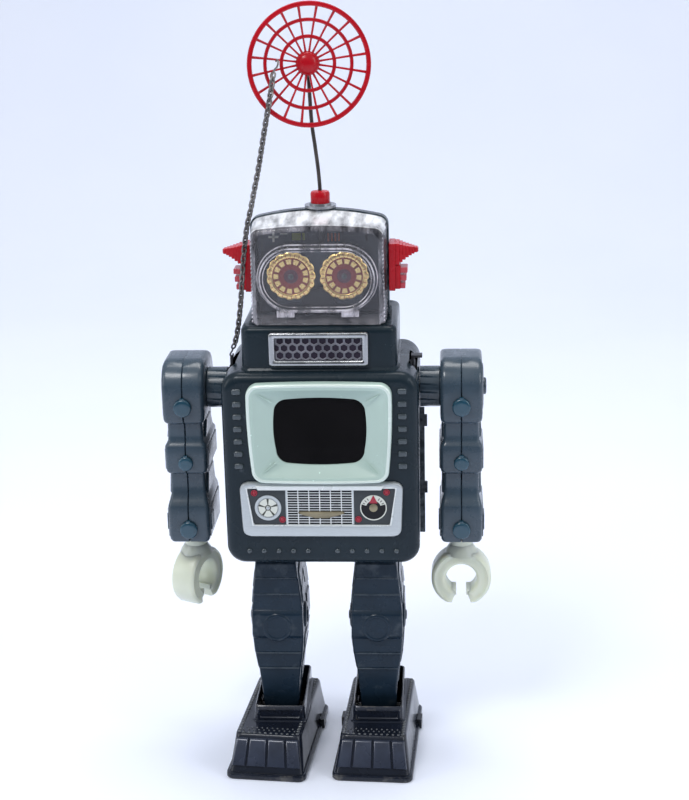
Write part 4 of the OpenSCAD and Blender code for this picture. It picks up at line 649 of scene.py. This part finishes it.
for i in range(NSP):
    a = math.radians(360 / NSP * (i + 0.5)); u = (math.cos(a), math.sin(a)); n = (-u[1], u[0]); rg = []
    for r, y, w, h in ((4.6, -1.0, 0.62, 0.55), (8, -1.6, 0.48, 0.5), (12.4, -2.8, 0.46, 0.5), (16, -3.9, 0.52, 0.5), (20, -5.3, 0.55, 0.5), (24, -7.0, 0.62, 0.5), (27.4, -8.6, 0.7, 0.5)):
        rg.append([(u[0] * r + n[0] * s * w, y + q * h, u[1] * r + n[1] * s * w) for s, q in ((-1, 1), (-0.75, -1), (0.75, -1), (1, 1))])
    dv.append(loft(rg, True, True))
dv.append(lathe([(0.01, 1.4), (4.6, 1.4), (5.4, 1.0), (5.6, -1.2), (5.2, -2.4), (4.4, -3.4), (3.0, -4.2), (1.5, -4.6), (0.01, -4.7)], (0, 0, 0), "y", 48))
from_vf("dish_plastic", *dish_place(joinvf(*dv)), RED, "antenna", nodes="dish", slot="red_plastic", smooth=42)
# chain: twisted curb links
route = spline([(-17.6, -11.9, 347.2), (-18.2, -13.4, 345), (-19.2, -15.8, 338), (-20.4, -17.8, 331), (-21.6, -19.0, 325), (-23.3, -18.2, 317), (-25.2, -16.2, 308), (-27.2, -14, 299), (-29.4, -12.6, 290), (-31.4, -11.4, 281.5), (-33.6, -10.6, 273), (-35.2, -10.4, 263), (-36.4, -10.4, 253), (-37.4, -10.4, 243), (-38.4, -10.2, 234), (-39.6, -9.6, 226), (-41, -8.8, 219), (-42.8, -8, 213.5), (-44.2, -7.2, 210.2)], 24)
acc = [0.0]
for i in range(1, len(route)): acc.append(acc[-1] + (route[i] - route[i - 1]).length)
def at(s):
    for i in range(1, len(acc)):
        if acc[i] >= s: break
    t = (s - acc[i - 1]) / max(1e-9, acc[i] - acc[i - 1]); return route[i - 1].lerp(route[i], t), (route[i] - route[i - 1]).normalized()
link_v = []
pitch = 2.25; s0 = 3.6; nlink = int((acc[-1] - 2.6 - s0) / pitch)
for k in range(nlink):
    p, t = at(s0 + pitch * k + pitch / 2)
    u = t.cross(Vector((0, 1, 0))).normalized(); v = t.cross(u); a = math.radians(90 * (k % 2) + 38)
    w_ = u * math.cos(a) + v * math.sin(a); h_ = t.cross(w_)
    tn = t; ring = []
    for j in range(20):
        b = 2 * pi * j / 20; ca, sa = math.cos(b), math.sin(b)
        tw = 0.35 * ca     # the link is twisted along its length
        c_ = p + tn * (1.85 * ca) + w_ * (1.22 * sa * math.cos(tw)) + h_ * (1.22 * sa * math.sin(tw))
        d_ = (tn * (1.85 * ca) * 0.6 + w_ * (1.22 * sa)).normalized(); 
        ring.append([tuple(c_ + d_ * (0.45 * math.cos(q)) + h_ * (0.45 * math.sin(q))) for q in [2 * pi * z / 8 for z in range(8)]])
    ring.append(ring[0]); link_v.append(loft(ring))
chain_ob_v = joinvf(*link_v)
# wire hooks at both ends
hookA = tube(spline([(-17.2, -11.4, 349.6), (-16.4, -12.4, 350.3), (-16.0, -13.4, 349.2), (-16.5, -13.9, 347.4), (-17.6, -13.6, 346.2), (-18.5, -13.6, 344.6), (-19.1, -14.1, 343.0), (-18.7, -14.6, 341.8), (-18.0, -14.4, 342.2)], 6), 0.42, 8)
hookB = tube(spline([(-43.2, -7.7, 212.6), (-43.6, -7.6, 211.4), (-44.4, -7.2, 210.2), (-44.7, -7.0, 209.0), (-44.0, -6.9, 208.4), (-43.3, -7.1, 208.9), (-43.2, -7.4, 210.0)], 6), 0.42, 8)
ch = None
V_, F_ = joinvf(chain_ob_v, hookA, hookB)
me = bpy.data.meshes.new("chain_links"); me.from_pydata([(x * 0.001, y * 0.001, z * 0.001) for x, y, z in V_], [], F_); me.validate()
bm = bmesh.new(); bm.from_mesh(me); bmesh.ops.recalc_face_normals(bm, faces=bm.faces); bm.to_mesh(me); bm.free()
me.materials.append(CHAINM)
for p in me.polygons: p.use_smooth = True
ch = bpy.data.objects.new("chain_links", me); SC.collection.objects.link(ch)
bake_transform(ch)
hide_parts("chain")

# ------------------------------------------------------------------ key
def wing(cx):
    o = []
    for k in range(48):
        a = 2 * pi * k / 48; o.append((cx + 6.9 * math.cos(a), 146 + 6.9 * math.sin(a)))
    return o
kv = []
for s in (-1, 1):
    cx = s * 9.4; ctr = (cx, 0, 146)
    kv.append(lathe([(2.3, 41.75), (2.1, 41.9), (2.1, 42.9), (2.3, 43.05), (6.3, 43.05), (6.75, 42.85), (6.9, 42.4), (6.75, 41.95), (6.3, 41.75), (2.3, 41.75)], ctr, "y", 48))
kv.append(loft([xz(rr(4.6, 4.6, 143.6, 148.4, 0.9, 0, 4, 1), 41.75), xz(rr(4.6, 4.6, 143.6, 148.4, 0.9, 0, 4, 1), 43.05)], True, True))
kv.append(lathe([(3.3, 34.6), (3.3, 41.6), (2.9, 42.2), (2.6, 43.6), (2.0, 44.0), (0.01, 44.0)], (0, 0, 146), "y", 36))
kv.append(lathe([(1.6, 34.6), (3.3, 34.6)], (0, 0, 146), "y", 36))
from_vf("key_plate", *joinvf(*kv), CHROME, "winding_key", nodes="key", slot="key_plate", smooth=40, bevel=0.0)

# ------------------------------------------------------------------ arms
def arm_ring(hx, hy, r, z, half):
    """half outline: 1 = outer (x+), -1 = inner"""
    o = []
    pts = [(0.05, -hy + 0.75), (0.42, -hy)] + arc(hx - r, -hy + r, r, 270, 360, 6) + arc(hx - r, hy - r, r, 0, 90, 6) + [(0.42, hy), (0.05, hy - 0.75)]
    return [(half * x + 67.3, y, z) for x, y in pts]
ARM_PROF = [(207.6, 7.4, 6.2, 2.0), (207.45, 8.6, 8.4, 2.4), (206.6, 9.6, 11.4, 2.6), (205.0, 10.1, 14.4, 2.6), (202.6, 10.2, 17.0, 2.6), (199.4, 10.2, 19.0, 2.6), (196.0, 10.2, 20.0, 2.6), (189, 10.2, 20.0, 2.6), (182.4, 10.2, 20.0, 2.6), (180.0, 10.1, 19.8, 2.6),
    (178.6, 9.8, 19.3, 2.4), (177.7, 9.2, 18.4, 2.2), (177.4, 8.75, 17.1, 1.8), (176.8, 8.6, 16.5, 1.8), (171, 8.6, 16.3, 1.8), (168.2, 8.8, 16.8, 1.8), (167.0, 9.3, 17.4, 2.0), (166.2, 9.9, 18.1, 2.2), (165.4, 10.2, 18.4, 2.2), (159, 10.2, 18.4, 2.2), (154.4, 10.2, 18.4, 2.2),
    (152.6, 9.9, 18.1, 2.2), (151.7, 9.3, 17.3, 2.0), (151.4, 8.8, 16.2, 1.8), (150.8, 8.6, 15.5, 1.8), (145, 8.5, 15.4, 1.8), (140.2, 8.7, 16.0, 1.8), (137.6, 9.3, 17.6, 2.0), (135.6, 9.9, 18.9, 2.2), (134.2, 10.2, 19.4, 2.4), (126, 10.2, 19.4, 2.4), (119.6, 10.2, 19.4, 2.4),
    (117.2, 9.9, 19.0, 2.4), (116.0, 9.2, 18.2, 2.2), (115.5, 7.8, 16.6, 2.0)]
def arm_vis(s, nm):
    body = nm + "_arm"
    for half, tag in ((1, "outer"), (-1, "inner")):
        V1, F1 = loft([arm_ring(hx, hy, r, z, half) for z, hx, hy, r in ARM_PROF], True, True)
        ex = []
        X0 = 67.3 + half * 10.15; X1 = 67.3 + half * 10.75; lo, hi = min(X0, X1), max(X0, X1)
        def pad(o, d0=0.0, d1=0.6):
            a_, b_ = 67.3 + half * (10.15 + d0), 67.3 + half * (10.15 + d1)
            c_ = (sum(p[0] for p in o) / len(o), sum(p[1] for p in o) / len(o))
            i_ = [(c_[0] + (p[0] - c_[0]) * 0.93, c_[1] + (p[1] - c_[1]) * 0.93) for p in o]
            return loft([yz(o, a_), yz(o, (a_ + b_) / 2 + half * 0.1), yz(i_, b_)], cap1=True)
        # pressed relief on the broad sides
        if half > 0:
            ex.append(lathe([(11.2, 67.3 + 10.1), (11.0, 67.3 + 10.65), (9.6, 67.3 + 10.8), (9.2, 67.3 + 10.35), (0.01, 67.3 + 10.35)], (0, 0, 190.9), "x", 48))
        ex.append(pad([(-15.6, 153.6), (15.6, 153.6), (15.6, 163.8), (-15.6, 163.8)]))
        ex.append(pad([(-16.4, 118.4), (16.4, 118.4), (16.4, 133), (-16.4, 133)]))
        for kk in (-1, 0, 1):
            yk = -11.5 + 3.2 * kk
            ex.append(loft([yz([(yk - 0.8, 121.5), (yk + 0.8, 121.5), (yk + 0.8, 130), (yk - 0.8, 130)], 67.3 + half * 10.6), yz([(yk - 0.6, 121.7), (yk + 0.6, 121.7), (yk + 0.6, 129.8), (yk - 0.6, 129.8)], 67.3 + half * 11.2)], cap1=True))
        # slanted relief on the shanks
        def spad(o): 
            a_, b_ = 67.3 + half * 8.5, 67.3 + half * 9.6
            c_ = (sum(p[0] for p in o) / len(o), sum(p[1] for p in o) / len(o))
            i_ = [(c_[0] + (p[0] - c_[0]) * 0.88, c_[1] + (p[1] - c_[1]) * 0.88) for p in o]
            return loft([yz(o, a_), yz(i_, b_)], cap1=True)
        ex.append(spad([(-13, 168.5), (13, 168.5), (7, 176.6), (-7, 176.6)]))
        ex.append(spad([(-13, 139.5), (13, 139.5), (9.5, 149.8), (-9.5, 149.8)]))
        vf = joinvf((V1, F1), *ex)
        if s < 0: vf = mirror_x(vf)
        from_vf(nm + "_arm_" + tag + "_moulding", *vf, ARM, body, nodes=nm + "_arm_" + tag, slot="arm_plastic", smooth=34)
    cyl = [lathe([(10.0, 47.32), (10.0, 56.6), (9.6, 57.05)], (0, 0, 190.9), "x", 64), lathe([(10.0, 47.32), (2.4, 47.32)], (0, 0, 190.9), "x", 48), lathe([(2.5, 28.3 if s > 0 else 25.7), (2.5, 47.4)], (0, 0, 190.9), "x", 28),
           lathe([(0.01, 28.3 if s > 0 else 25.7), (2.5, 28.3 if s > 0 else 25.7)], (0, 0, 190.9), "x", 28), boxvf(33, 34.4, -3, 3, 176.9, 190.9),
           lathe([(4.2, 77.4), (4.2, 78.9), (3.9, 79.4), (3.2, 79.6), (0.01, 79.7)], (0, 0, 190.9), "x", 36)]
    vf = joinvf(*cyl)
    if s < 0: vf = mirror_x(vf)
    from_vf(nm + "_shoulder_collar", *vf, ARM, body, nodes=nm + "_arm_axle", slot="arm_plastic", smooth=40)
    st_ = []
    for z, r, y0 in ((186.3, 4.4, -20), (157.4, 3.6, -18.4), (123, 4.4, -19.4)):
        st_.append(lathe([(1.4, y0 + 6), (1.4, y0), (r - 0.2, y0 + 0.05), (r, y0 - 0.15), (r, y0 - 1.6), (r - 0.25, y0 - 2.0), (r - 0.9, y0 - 2.25), (r * 0.45, y0 - 2.3), (0.01, y0 - 2.3)], (s * 67.3, 0, z), "y", 40))
        st_.append(boxvf(s * 67.3 - 1.0, s * 67.3 + 1.0, y0 - 1.8, y0 - 0.1, z + r - 0.2, z + r + 0.5))
    from_vf(nm + "_arm_stud_caps", *joinvf(*st_), TEAL, body, nodes=nm + "_arm_studs", slot="stud_teal", smooth=45)
arm_vis(1, "left"); arm_vis(-1, "right")

# ------------------------------------------------------------------ hands
def hand_vis(s, nm, turn):
    R0, R1 = 7.9, 15.0; rm = (R0 + R1) / 2
    sec = []
    # section (radius, depth): thick outer rim, shallow web
    base = [(R0, -5.4), (R0 + 0.9, -6.3), (R0 + 1.7, -6.5), (rm - 0.2, -5.9), (rm + 1.3, -6.0), (R1 - 1.6, -6.5), (R1 - 0.6, -6.1), (R1, -5.0)]
    sec = base + [(r, -y) for r, y in reversed(base)]
    rings = []
    gap = math.degrees(math.asin(4.0 / 11.5))
    a0, a1 = -90 + gap, 270 - gap
    n = 56
    for k in range(n + 1):
        a = math.radians(a0 + (a1 - a0) * k / n); e = min(k, n - k) / n
        q = 1.0 if e > 0.03 else 0.86 + 0.14 * (e / 0.03)
        rings.append([((rm + (r - rm) * q) * math.cos(a), y * q, (rm + (r - rm) * q) * math.sin(a)) for r, y in sec])
    v1 = loft(rings, True, True)
    # small catch lips at the tips
    tips = []
    for k in (-1, 1):
        a = math.radians(-90 + k * (gap + 5)); cx, cz = 8.4 * math.cos(a), 8.4 * math.sin(a)
        tips.append(boxvf(cx - 1.1, cx + 1.1, -5.2, 5.2, cz - 1.3, cz + 1.3))
    neck = lathe([(5.0, 12.6), (5.6, 13.8), (5.6, 23.4), (5.2, 24.1), (3.6, 24.2), (3.6, 27.9), (5.0, 28.0), (5.0, 31.0), (4.6, 31.2), (0.01, 31.2)], (0, 0, 0), "z", 40)
    shoulder = lathe([(8.4, 12.2), (7.6, 14.4), (6.4, 16.2), (5.6, 17.4)], (0, 0, 0), "z", 40)
    vf = joinvf(v1, neck, shoulder, *tips)
    vf = shift(turn_z(vf, turn), (s * 67.3, 0, 91))
    from_vf(nm + "_claw_plastic", *vf, CREAM, nm + "_hand", nodes=nm + "_hand", slot="hand_cream", smooth=48)
hand_vis(1, "left", 0); hand_vis(-1, "right", 65)

# ------------------------------------------------------------------ legs
LF = [(111, 16.2), (108.4, 16.8), (106.4, 18.6), (104.6, 19.9), (97.6, 20.4), (96.4, 19.3), (95.6, 19.1), (88.6, 19.8), (87.4, 18.9), (86.6, 18.8), (79.6, 19.2), (78.2, 20.3), (77, 20.7), (66.6, 20.7), (65.0, 20.0), (64.0, 19.1), (56.6, 18.8), (55.4, 18.0), (54.6, 17.8), (47.6, 17.6), (46.4, 16.8), (45.6, 16.6), (36.6, 16.1), (30, 14.7), (22, 13.7), (15, 9), (11.4, 4)]
LWP = [(111, 10.1), (103, 10.2), (96, 11.0), (88, 11.9), (78, 12.7), (66, 12.9), (58, 12.4), (50, 11.6), (45, 10.4), (38, 9.8), (30, 9.2), (22, 9.0), (11, 8.8)]
def interp(tab, z):
    for (za, wa), (zb, wb) in zip(tab, tab[1:]):
        if zb <= z <= za: return wa + (wb - wa) * (za - z) / (za - zb)
    return tab[0][1] if z > tab[0][0] else tab[-1][1]
def leg_vis(s, nm):
    body = nm + "_leg"; cx = s * 25.0
    def ring(z, hy, ins=0.0):
        w = interp(LWP, z) - ins; r = 1.1
        pts = arc(w - r, -hy + r, r, 270, 360, 4) + arc(w - r, hy - r, r, 0, 90, 4) + arc(-w + r, hy - r, r, 90, 180, 4) + arc(-w + r, -hy + r, r, 180, 270, 4)
        return [(cx + x, y, z) for x, y in pts]
    P = [loft([ring(z, hy) for z, hy in LF], cap1=True)]
    P.append(loft([ring(111, 16.2), ring(117.4, 9.0 + 0.0)], False, True))
    # fork plate beside the crank
    fx0, fx1 = (cx + 8.9, cx + 10.1) if s > 0 else (cx - 10.1, cx - 8.9)
    for (y0, y1, z0, z1) in ((-6, -1.5, 116.8, 131), (1.5, 6, 116.8, 131), (-1.6, 1.6, 116.8, 119.4), (-1.6, 1.6, 129, 131)): P.append(boxvf(fx0, fx1, y0, y1, z0, z1))
    # side pressings: three slanted cells and seam ribs on both flanks
    for e in (-1, 1):
        def face(o, h=0.7, k=0.9):
            c_ = (sum(p[0] for p in o) / len(o), sum(p[1] for p in o) / len(o))
            a = [(cx + e * (interp(LWP, p[1]) - 0.15), p[0], p[1]) for p in o]
            b = [(cx + e * (interp(LWP, p[1]) + h), c_[0] + (p[0] - c_[0]) * k, c_[1] + (p[1] - c_[1]) * k) for p in o]
            return loft([a, b], cap1=True)
        P += [face([(-15.5, 98.5), (2.5, 104.5), (2.5, 97.0), (-15.5, 90.0)]), face([(4.2, 104.5), (15.5, 100.5), (15.5, 92), (4.2, 97.0)]),
              face([(-15.5, 88.5), (-1.5, 94.0), (-1.5, 86.0), (-15.5, 81.5)]), face([(0.5, 94.5), (15.5, 89.5), (15.5, 80.5), (0.5, 86.0)]),
              face([(-14.5, 62.5), (14.5, 62.5), (13.0, 56.0), (-13.0, 56.0)]), face([(-13.0, 54.0), (13.0, 54.0), (12.0, 47.2), (-12.0, 47.2)]), face([(-11.5, 45.0), (11.5, 45.0), (10.5, 36.0), (-10.5, 36.0)]),
              face([(2.5, 79.5), (15.8, 78.5), (15.8, 65.0), (2.5, 65.0)])]
        w0 = interp(LWP, 72) - 0.2
        P.append(shift(lathe([(6.6, e * w0), (6.4, e * (w0 + 1.0)), (5.6, e * (w0 + 1.4)), (4.4, e * (w0 + 1.5)), (4.0, e * (w0 + 1.0)), (2.8, e * (w0 + 1.0)), (2.6, e * (w0 + 1.7)), (2.0, e * (w0 + 2.1)), (0.01, e * (w0 + 2.2))], (0, -7, 72), "x", 40), (cx, 0, 0)))
    # pressed knee on the front and the step lines across the shin
    P.append(lathe([(7.6, -20.5), (7.2, -21.0), (6.6, -21.25), (5.8, -21.2), (5.4, -20.95), (0.01, -20.95)], (cx, 0, 70.6), "y", 48))
    for z in (97, 88, 55.2, 46.2):
        hy = interp([(a, b) for a, b in LF], z + 0.8)
        w = interp(LWP, z) - 0.6
        P.append(loft([[(cx - w, -hy + 0.05, z - 0.05), (cx + w, -hy + 0.05, z - 0.05), (cx + w, -hy + 0.05, z + 0.9), (cx - w, -hy + 0.05, z + 0.9)], [(cx - w + 0.3, -hy - 0.32, z + 0.15), (cx + w - 0.3, -hy - 0.32, z + 0.15), (cx + w - 0.3, -hy - 0.32, z + 0.6), (cx - w + 0.3, -hy - 0.32, z + 0.6)]], cap1=True))
    from_vf(nm + "_leg_tin", *joinvf(*P), LEGM, body, nodes=nm + "_leg", slot="leg_enamel", smooth=30)
leg_vis(1, "left"); leg_vis(-1, "right")

# ------------------------------------------------------------------ shoes
def foot_place(vf, s): return shift(turn_z(vf, -5.0 if s < 0 else -3.0), (s * 25.0 + (-1.5 if s < 0 else 0), 0, 0))
# lighter, glossier copies of the shoe enamel: painted light on the toe panels and painted highlight on the dot rows
TOE_PANEL_LIT = enamel("enamel_toe_panel_painted_light", (0.030, 0.038, 0.062), rough=0.26, metal=0.2, var=0.25, coat=0.35, spec=0.5, specks=False, patch=False)
SHOE_DOT_HIGHLIGHT = enamel("enamel_shoe_dots_painted_highlight", (0.085, 0.092, 0.10), rough=0.24, metal=0.4, var=0.3, coat=0.4, spec=0.6, specks=False, patch=False)
def shoe_vis(s, nm):
    body = nm + "_foot"; P = []; TP = []
    NN = 200; c_ = (0.0, -8.0)
    lo = polar(rr(18.9, 18.9, -47.0, 28.6, 3.0, 0, 6, 4), c_, NN); hi = polar(rr(16.6, 16.6, -39.4, 26.2, 3.0, 0, 6, 4), c_, NN)
    rings = []
    def flute(p, t):
        return p
    for j in range(15):
        t = j / 14.0; z = 3.2 + (19.2 - 3.2) * t
        rings.append([(p_[0], p_[1], z) for p_ in blend2(lo, hi, t)])
    rings.append([(x * 0.985, (y + 8) * 0.985 - 8, 20.0) for x, y in hi]); rings.append([(x * 0.965, (y + 8) * 0.97 - 8, 20.35) for x, y in hi])
    rings.append([(x * 0.93, (y + 8) * 0.945 - 8, 20.4) for x, y in hi])
    body_vf = loft(rings, False, False)
    P.append(foot_place(body_vf, s))
    # four raised panels across the toe with narrow grooves between them, in a lighter copy of the shoe enamel as
    # painted light on the lit toe
    for (u0, u1) in ((-0.98, -0.62), (-0.56, -0.03), (0.03, 0.54), (0.60, 0.98)):
        lo_y = lambda z: -47.0 + (z - 3.2) / 16.0 * 7.6
        hx = lambda z: 18.0 - (z - 3.2) / 16.0 * 2.3
        za, zb = 6.2, 18.4
        q = [(u0 * hx(za), za), (u1 * hx(za), za), (u1 * hx(zb), zb), (u0 * hx(zb), zb)]
        def lay(ins, out):
            o = []
            cxm = sum(a for a, _ in q) / 4
            for (x, z), (ix, iz) in zip(q, ((1, 1), (-1, 1), (-1, -1), (1, -1))):
                zz = z + iz * ins; o.append((x + ix * ins, lo_y(zz) - out, zz))
            return o
        TP.append(loft([lay(-0.15, -0.05), lay(0.0, 0.55), lay(0.35, 0.95), lay(0.9, 1.05)], cap1=True))
    # the flat top with its opening is made in the leg's own frame so it meets the collar
    cx = s * 25.0
    inner = polar(rr(12.7, 12.7, -24.2, 23.0, 2.0, 0, 6, 4), (0, 0), NN)
    outv, _ = foot_place(([(x * 0.93, (y + 8) * 0.945 - 8, 20.4) for x, y in hi], []), s)
    # resample the outer edge round the collar centre so that the two rings pair up
    ov = polar([(x - cx, y) for x, y, z in outv], (0, 0), NN)
    P.append(loft([[(x + cx, y, 20.4) for x, y in ov], [(x + cx, y, 20.4) for x, y in inner]]))
    col = lambda i, z: [(x + cx, y, z) for x, y in rr(12.7 - i, 12.7 - i, -24.2 + i, 23.0 - i, max(2.0 - i * 0.5, 0.4), 0, 6, 4)]
    P.append(loft([col(-1.3, 20.4), col(-1.1, 20.8), col(-0.2, 21.2), col(0.0, 21.8), col(0.05, 27.5), col(0.15, 28.3), col(0.5, 28.7), col(0.95, 28.6), col(1.2, 27.6), col(1.2, 16.0)]))
    # front pocket of the collar: recessed panel
    P.append(loft([[(cx + x, -24.15, z) for x, z in rr(11.6, 11.6, 21.2, 27.4, 1.0, 0, 4, 1)], [(cx + x, -24.75, z) for x, z in rr(11.0, 11.0, 21.6, 27.0, 0.8, 0, 4, 1)], [(cx + x, -24.75, z) for x, z in rr(10.2, 10.2, 22.3, 26.4, 0.6, 0, 4, 1)], [(cx + x, -24.25, z) for x, z in rr(9.8, 9.8, 22.7, 26.0, 0.5, 0, 4, 1)]], cap1=True))
    # ankle pin and its ears
    P.append(shift(lathe([(0.01, -11.9), (1.5, -11.9), (1.5, 11.9), (0.01, 11.9)], (0, 0, ANKLE_Z), "x", 20), (cx, 0, 0)))
    for e in (-1, 1): P.append(boxvf(cx + e * 11.7 - 0.7, cx + e * 11.7 + 0.7, -3, 3, 3.2, 21))
    from_vf(nm + "_shoe_tin", *joinvf(*P), SHOE, body, nodes=nm + "_shoe", slot="shoe_enamel", smooth=34)
    from_vf(nm + "_toe_panels", *foot_place(joinvf(*TP), s), TOE_PANEL_LIT, body, smooth=30)
    # rows of dots along the top edges and round the collar, in a lighter, glossier enamel as painted highlight
    D = []
    dot = lambda x, y, z=20.36, r=0.62: lathe([(r, z), (r * 0.85, z + 0.32), (r * 0.4, z + 0.5), (0.01, z + 0.52)], (x, y, 0), "z", 10)
    for e in (-1, 1):
        for k in range(24): D.append(dot(e * 14.7, -36.6 + k * 2.62, r=0.95))
    for k in range(10): D.append(dot(-12.6 + k * 2.8, -37.4, r=0.75))
    for k in range(8): D.append(dot(-9.8 + k * 2.8, 23.9))
    for k in range(11):
        for q in range(2): D.append(dot(-13.0 + k * 2.6 + (1.3 if q % 2 else 0), -34.6 + q * 2.2, r=0.5))
    from_vf(nm + "_shoe_dots", *foot_place(joinvf(*D), s), SHOE_DOT_HIGHLIGHT, body, smooth=50)
    # sole: rolled flange, side lugs, bearing blocks, wells for the rollers
    so = lambda i: rr(20.2 - i, 20.2 - i, -49.0 + i, 30.0 - i, max(4.0 - i * 0.6, 1.2), 0, 8, 3)
    S = [loft([xy(so(1.2), 0.35), xy(so(0.4), 0.1), xy(so(0.0), 0.7), xy(so(0.0), 2.4), xy(so(0.3), 3.0), xy(so(0.8), 3.25), xy(so(1.6), 3.2), xy(so(2.4), 3.0)])]
    LG = []
    for e in (-1, 1):
        LG.append(boxvf(min(e * 18.6, e * 21.2), max(e * 18.6, e * 21.2), 6.4, 13.6, 0.5, 5.8)); S.append(boxvf(min(e * 13.4, e * 15.4), max(e * 13.4, e * 15.4), 5, 11, 3, 7.3))
    from_vf(nm + "_sole_lugs", *foot_place(joinvf(*LG), s), LUG, body, bevel=0.3, seg=2)
    # underside plate with four wells
    xs = [-18.2, -11.8, -6.2, 6.2, 11.8, 18.2]; ys = [-47.4, -30.4, -17.6, 1.6, 14.4, 28.4]
    for i in range(5):
        for j in range(5):
            well = (i in (1, 3)) and (j in (1, 3))
            x0, x1, y0, y1 = xs[i], xs[i + 1], ys[j], ys[j + 1]
            if not well: S.append(([(x0, y0, 0.42), (x1, y0, 0.42), (x1, y1, 0.42), (x0, y1, 0.42)], [(3, 2, 1, 0)]))
            else:
                o_ = [(x0, y0), (x1, y0), (x1, y1), (x0, y1)]; S.append(loft([xy(o_, 0.42), xy(o_, 3.1)]))
                if j == 1: S.append(([(x0, y0, 3.1), (x1, y0, 3.1), (x1, y1, 3.1), (x0, y1, 3.1)], [(3, 2, 1, 0)]))
    S.append(loft([xy(so(1.2), 0.35), xy(so(2.0), 0.42), xy(rr(18.2, 18.2, -47.4, 28.4, 1.0, 0, 8, 3), 0.42)]))
    from_vf(nm + "_sole_tin", *foot_place(joinvf(*S), s), SHOE, body, nodes=nm + "_sole", slot="shoe_enamel", smooth=34)
shoe_vis(1, "left"); shoe_vis(-1, "right")
# ------------------------------------------------------------------ floor, backdrop, light
def stage_mesh(name, verts, faces, mat):
    me = bpy.data.meshes.new(name); me.from_pydata(verts, [], faces)
    for p in me.polygons: p.use_smooth = True
    me.materials.append(mat); o = bpy.data.objects.new(name, me); SC.collection.objects.link(o); return o
FLOORM, ft, fb = nt("floor_pale")
fn = noise_node(ft, 3, 3)
ft.links.new(ramp(ft, fn.outputs["Fac"], [(0.3, (0.80, 0.84, 0.96, 1)), (0.7, (0.84, 0.87, 0.97, 1))]).outputs["Color"], fb.inputs["Base Color"])
fb.inputs["Roughness"].default_value = 0.55
fb.inputs["Emission Color"].default_value = (0.80, 0.88, 1.0, 1); fb.inputs["Emission Strength"].default_value = 0.06
prof = [(-1.6, 0.0), (0.9, 0.0)] + [(0.9 + 0.6 * math.sin(a), 0.6 - 0.6 * math.cos(a)) for a in [k * pi / 24 for k in range(1, 13)]] + [(1.5, 2.6)]
fv = [(x, y, z) for y, z in prof for x in (-2.6, 2.6)]
stage_mesh("Floor", fv, [(2 * i, 2 * i + 1, 2 * i + 3, 2 * i + 2) for i in range(len(prof) - 1)], FLOORM)
w = bpy.data.worlds.new("World"); SC.world = w; w.use_nodes = True
wt = w.node_tree; bg = wt.nodes["Background"]
tc = wt.nodes.new("ShaderNodeTexCoord"); sp = wt.nodes.new("ShaderNodeSeparateXYZ"); wt.links.new(tc.outputs["Generated"], sp.inputs[0])
m1 = wt.nodes.new("ShaderNodeMath"); m1.operation = "MULTIPLY_ADD"; m1.inputs[1].default_value = -1.0; wt.links.new(sp.outputs["Y"], m1.inputs[0])
m2 = wt.nodes.new("ShaderNodeMath"); m2.operation = "MULTIPLY"; m2.inputs[1].default_value = -1.25; wt.links.new(sp.outputs["Z"], m2.inputs[0]); wt.links.new(m2.outputs[0], m1.inputs[2])
wr = wt.nodes.new("ShaderNodeValToRGB"); we = wr.color_ramp.elements
we[0].position, we[0].color = 0.05, (0.90, 0.94, 1.0, 1); we[1].position, we[1].color = 0.72, (0.075, 0.085, 0.10, 1)
wt.links.new(m1.outputs[0], wr.inputs["Fac"]); wt.links.new(wr.outputs["Color"], bg.inputs["Color"]); bg.inputs["Strength"].default_value = 0.70
def area(name, loc, target, size, energy, col=(1, 1, 1)):
    d = bpy.data.lights.new(name, "AREA"); d.shape = "RECTANGLE"; d.size, d.size_y = size; d.energy = energy; d.color = col
    o = bpy.data.objects.new(name, d); SC.collection.objects.link(o)
    o.location = loc; o.rotation_euler = (Vector(target) - Vector(loc)).to_track_quat("-Z", "Y").to_euler(); return o
area("Key_soft", (-0.45, -0.75, 1.35), (0, 0, 0.2), (0.45, 0.35), 7.5)
area("Fill_right", (1.2, -0.55, 0.8), (0, 0, 0.2), (0.25, 0.9), 4.0, (0.94, 0.97, 1.0))
area("Fill_left", (-1.3, -0.45, 0.7), (0, 0, 0.2), (0.25, 0.9), 3.0, (0.94, 0.97, 1.0))
area("Top_soft", (0.1, 0.25, 1.5), (0, 0, 0.2), (0.9, 0.5), 8.5)
SC.view_settings.view_transform = "Standard"
SC.view_settings.look = "None"
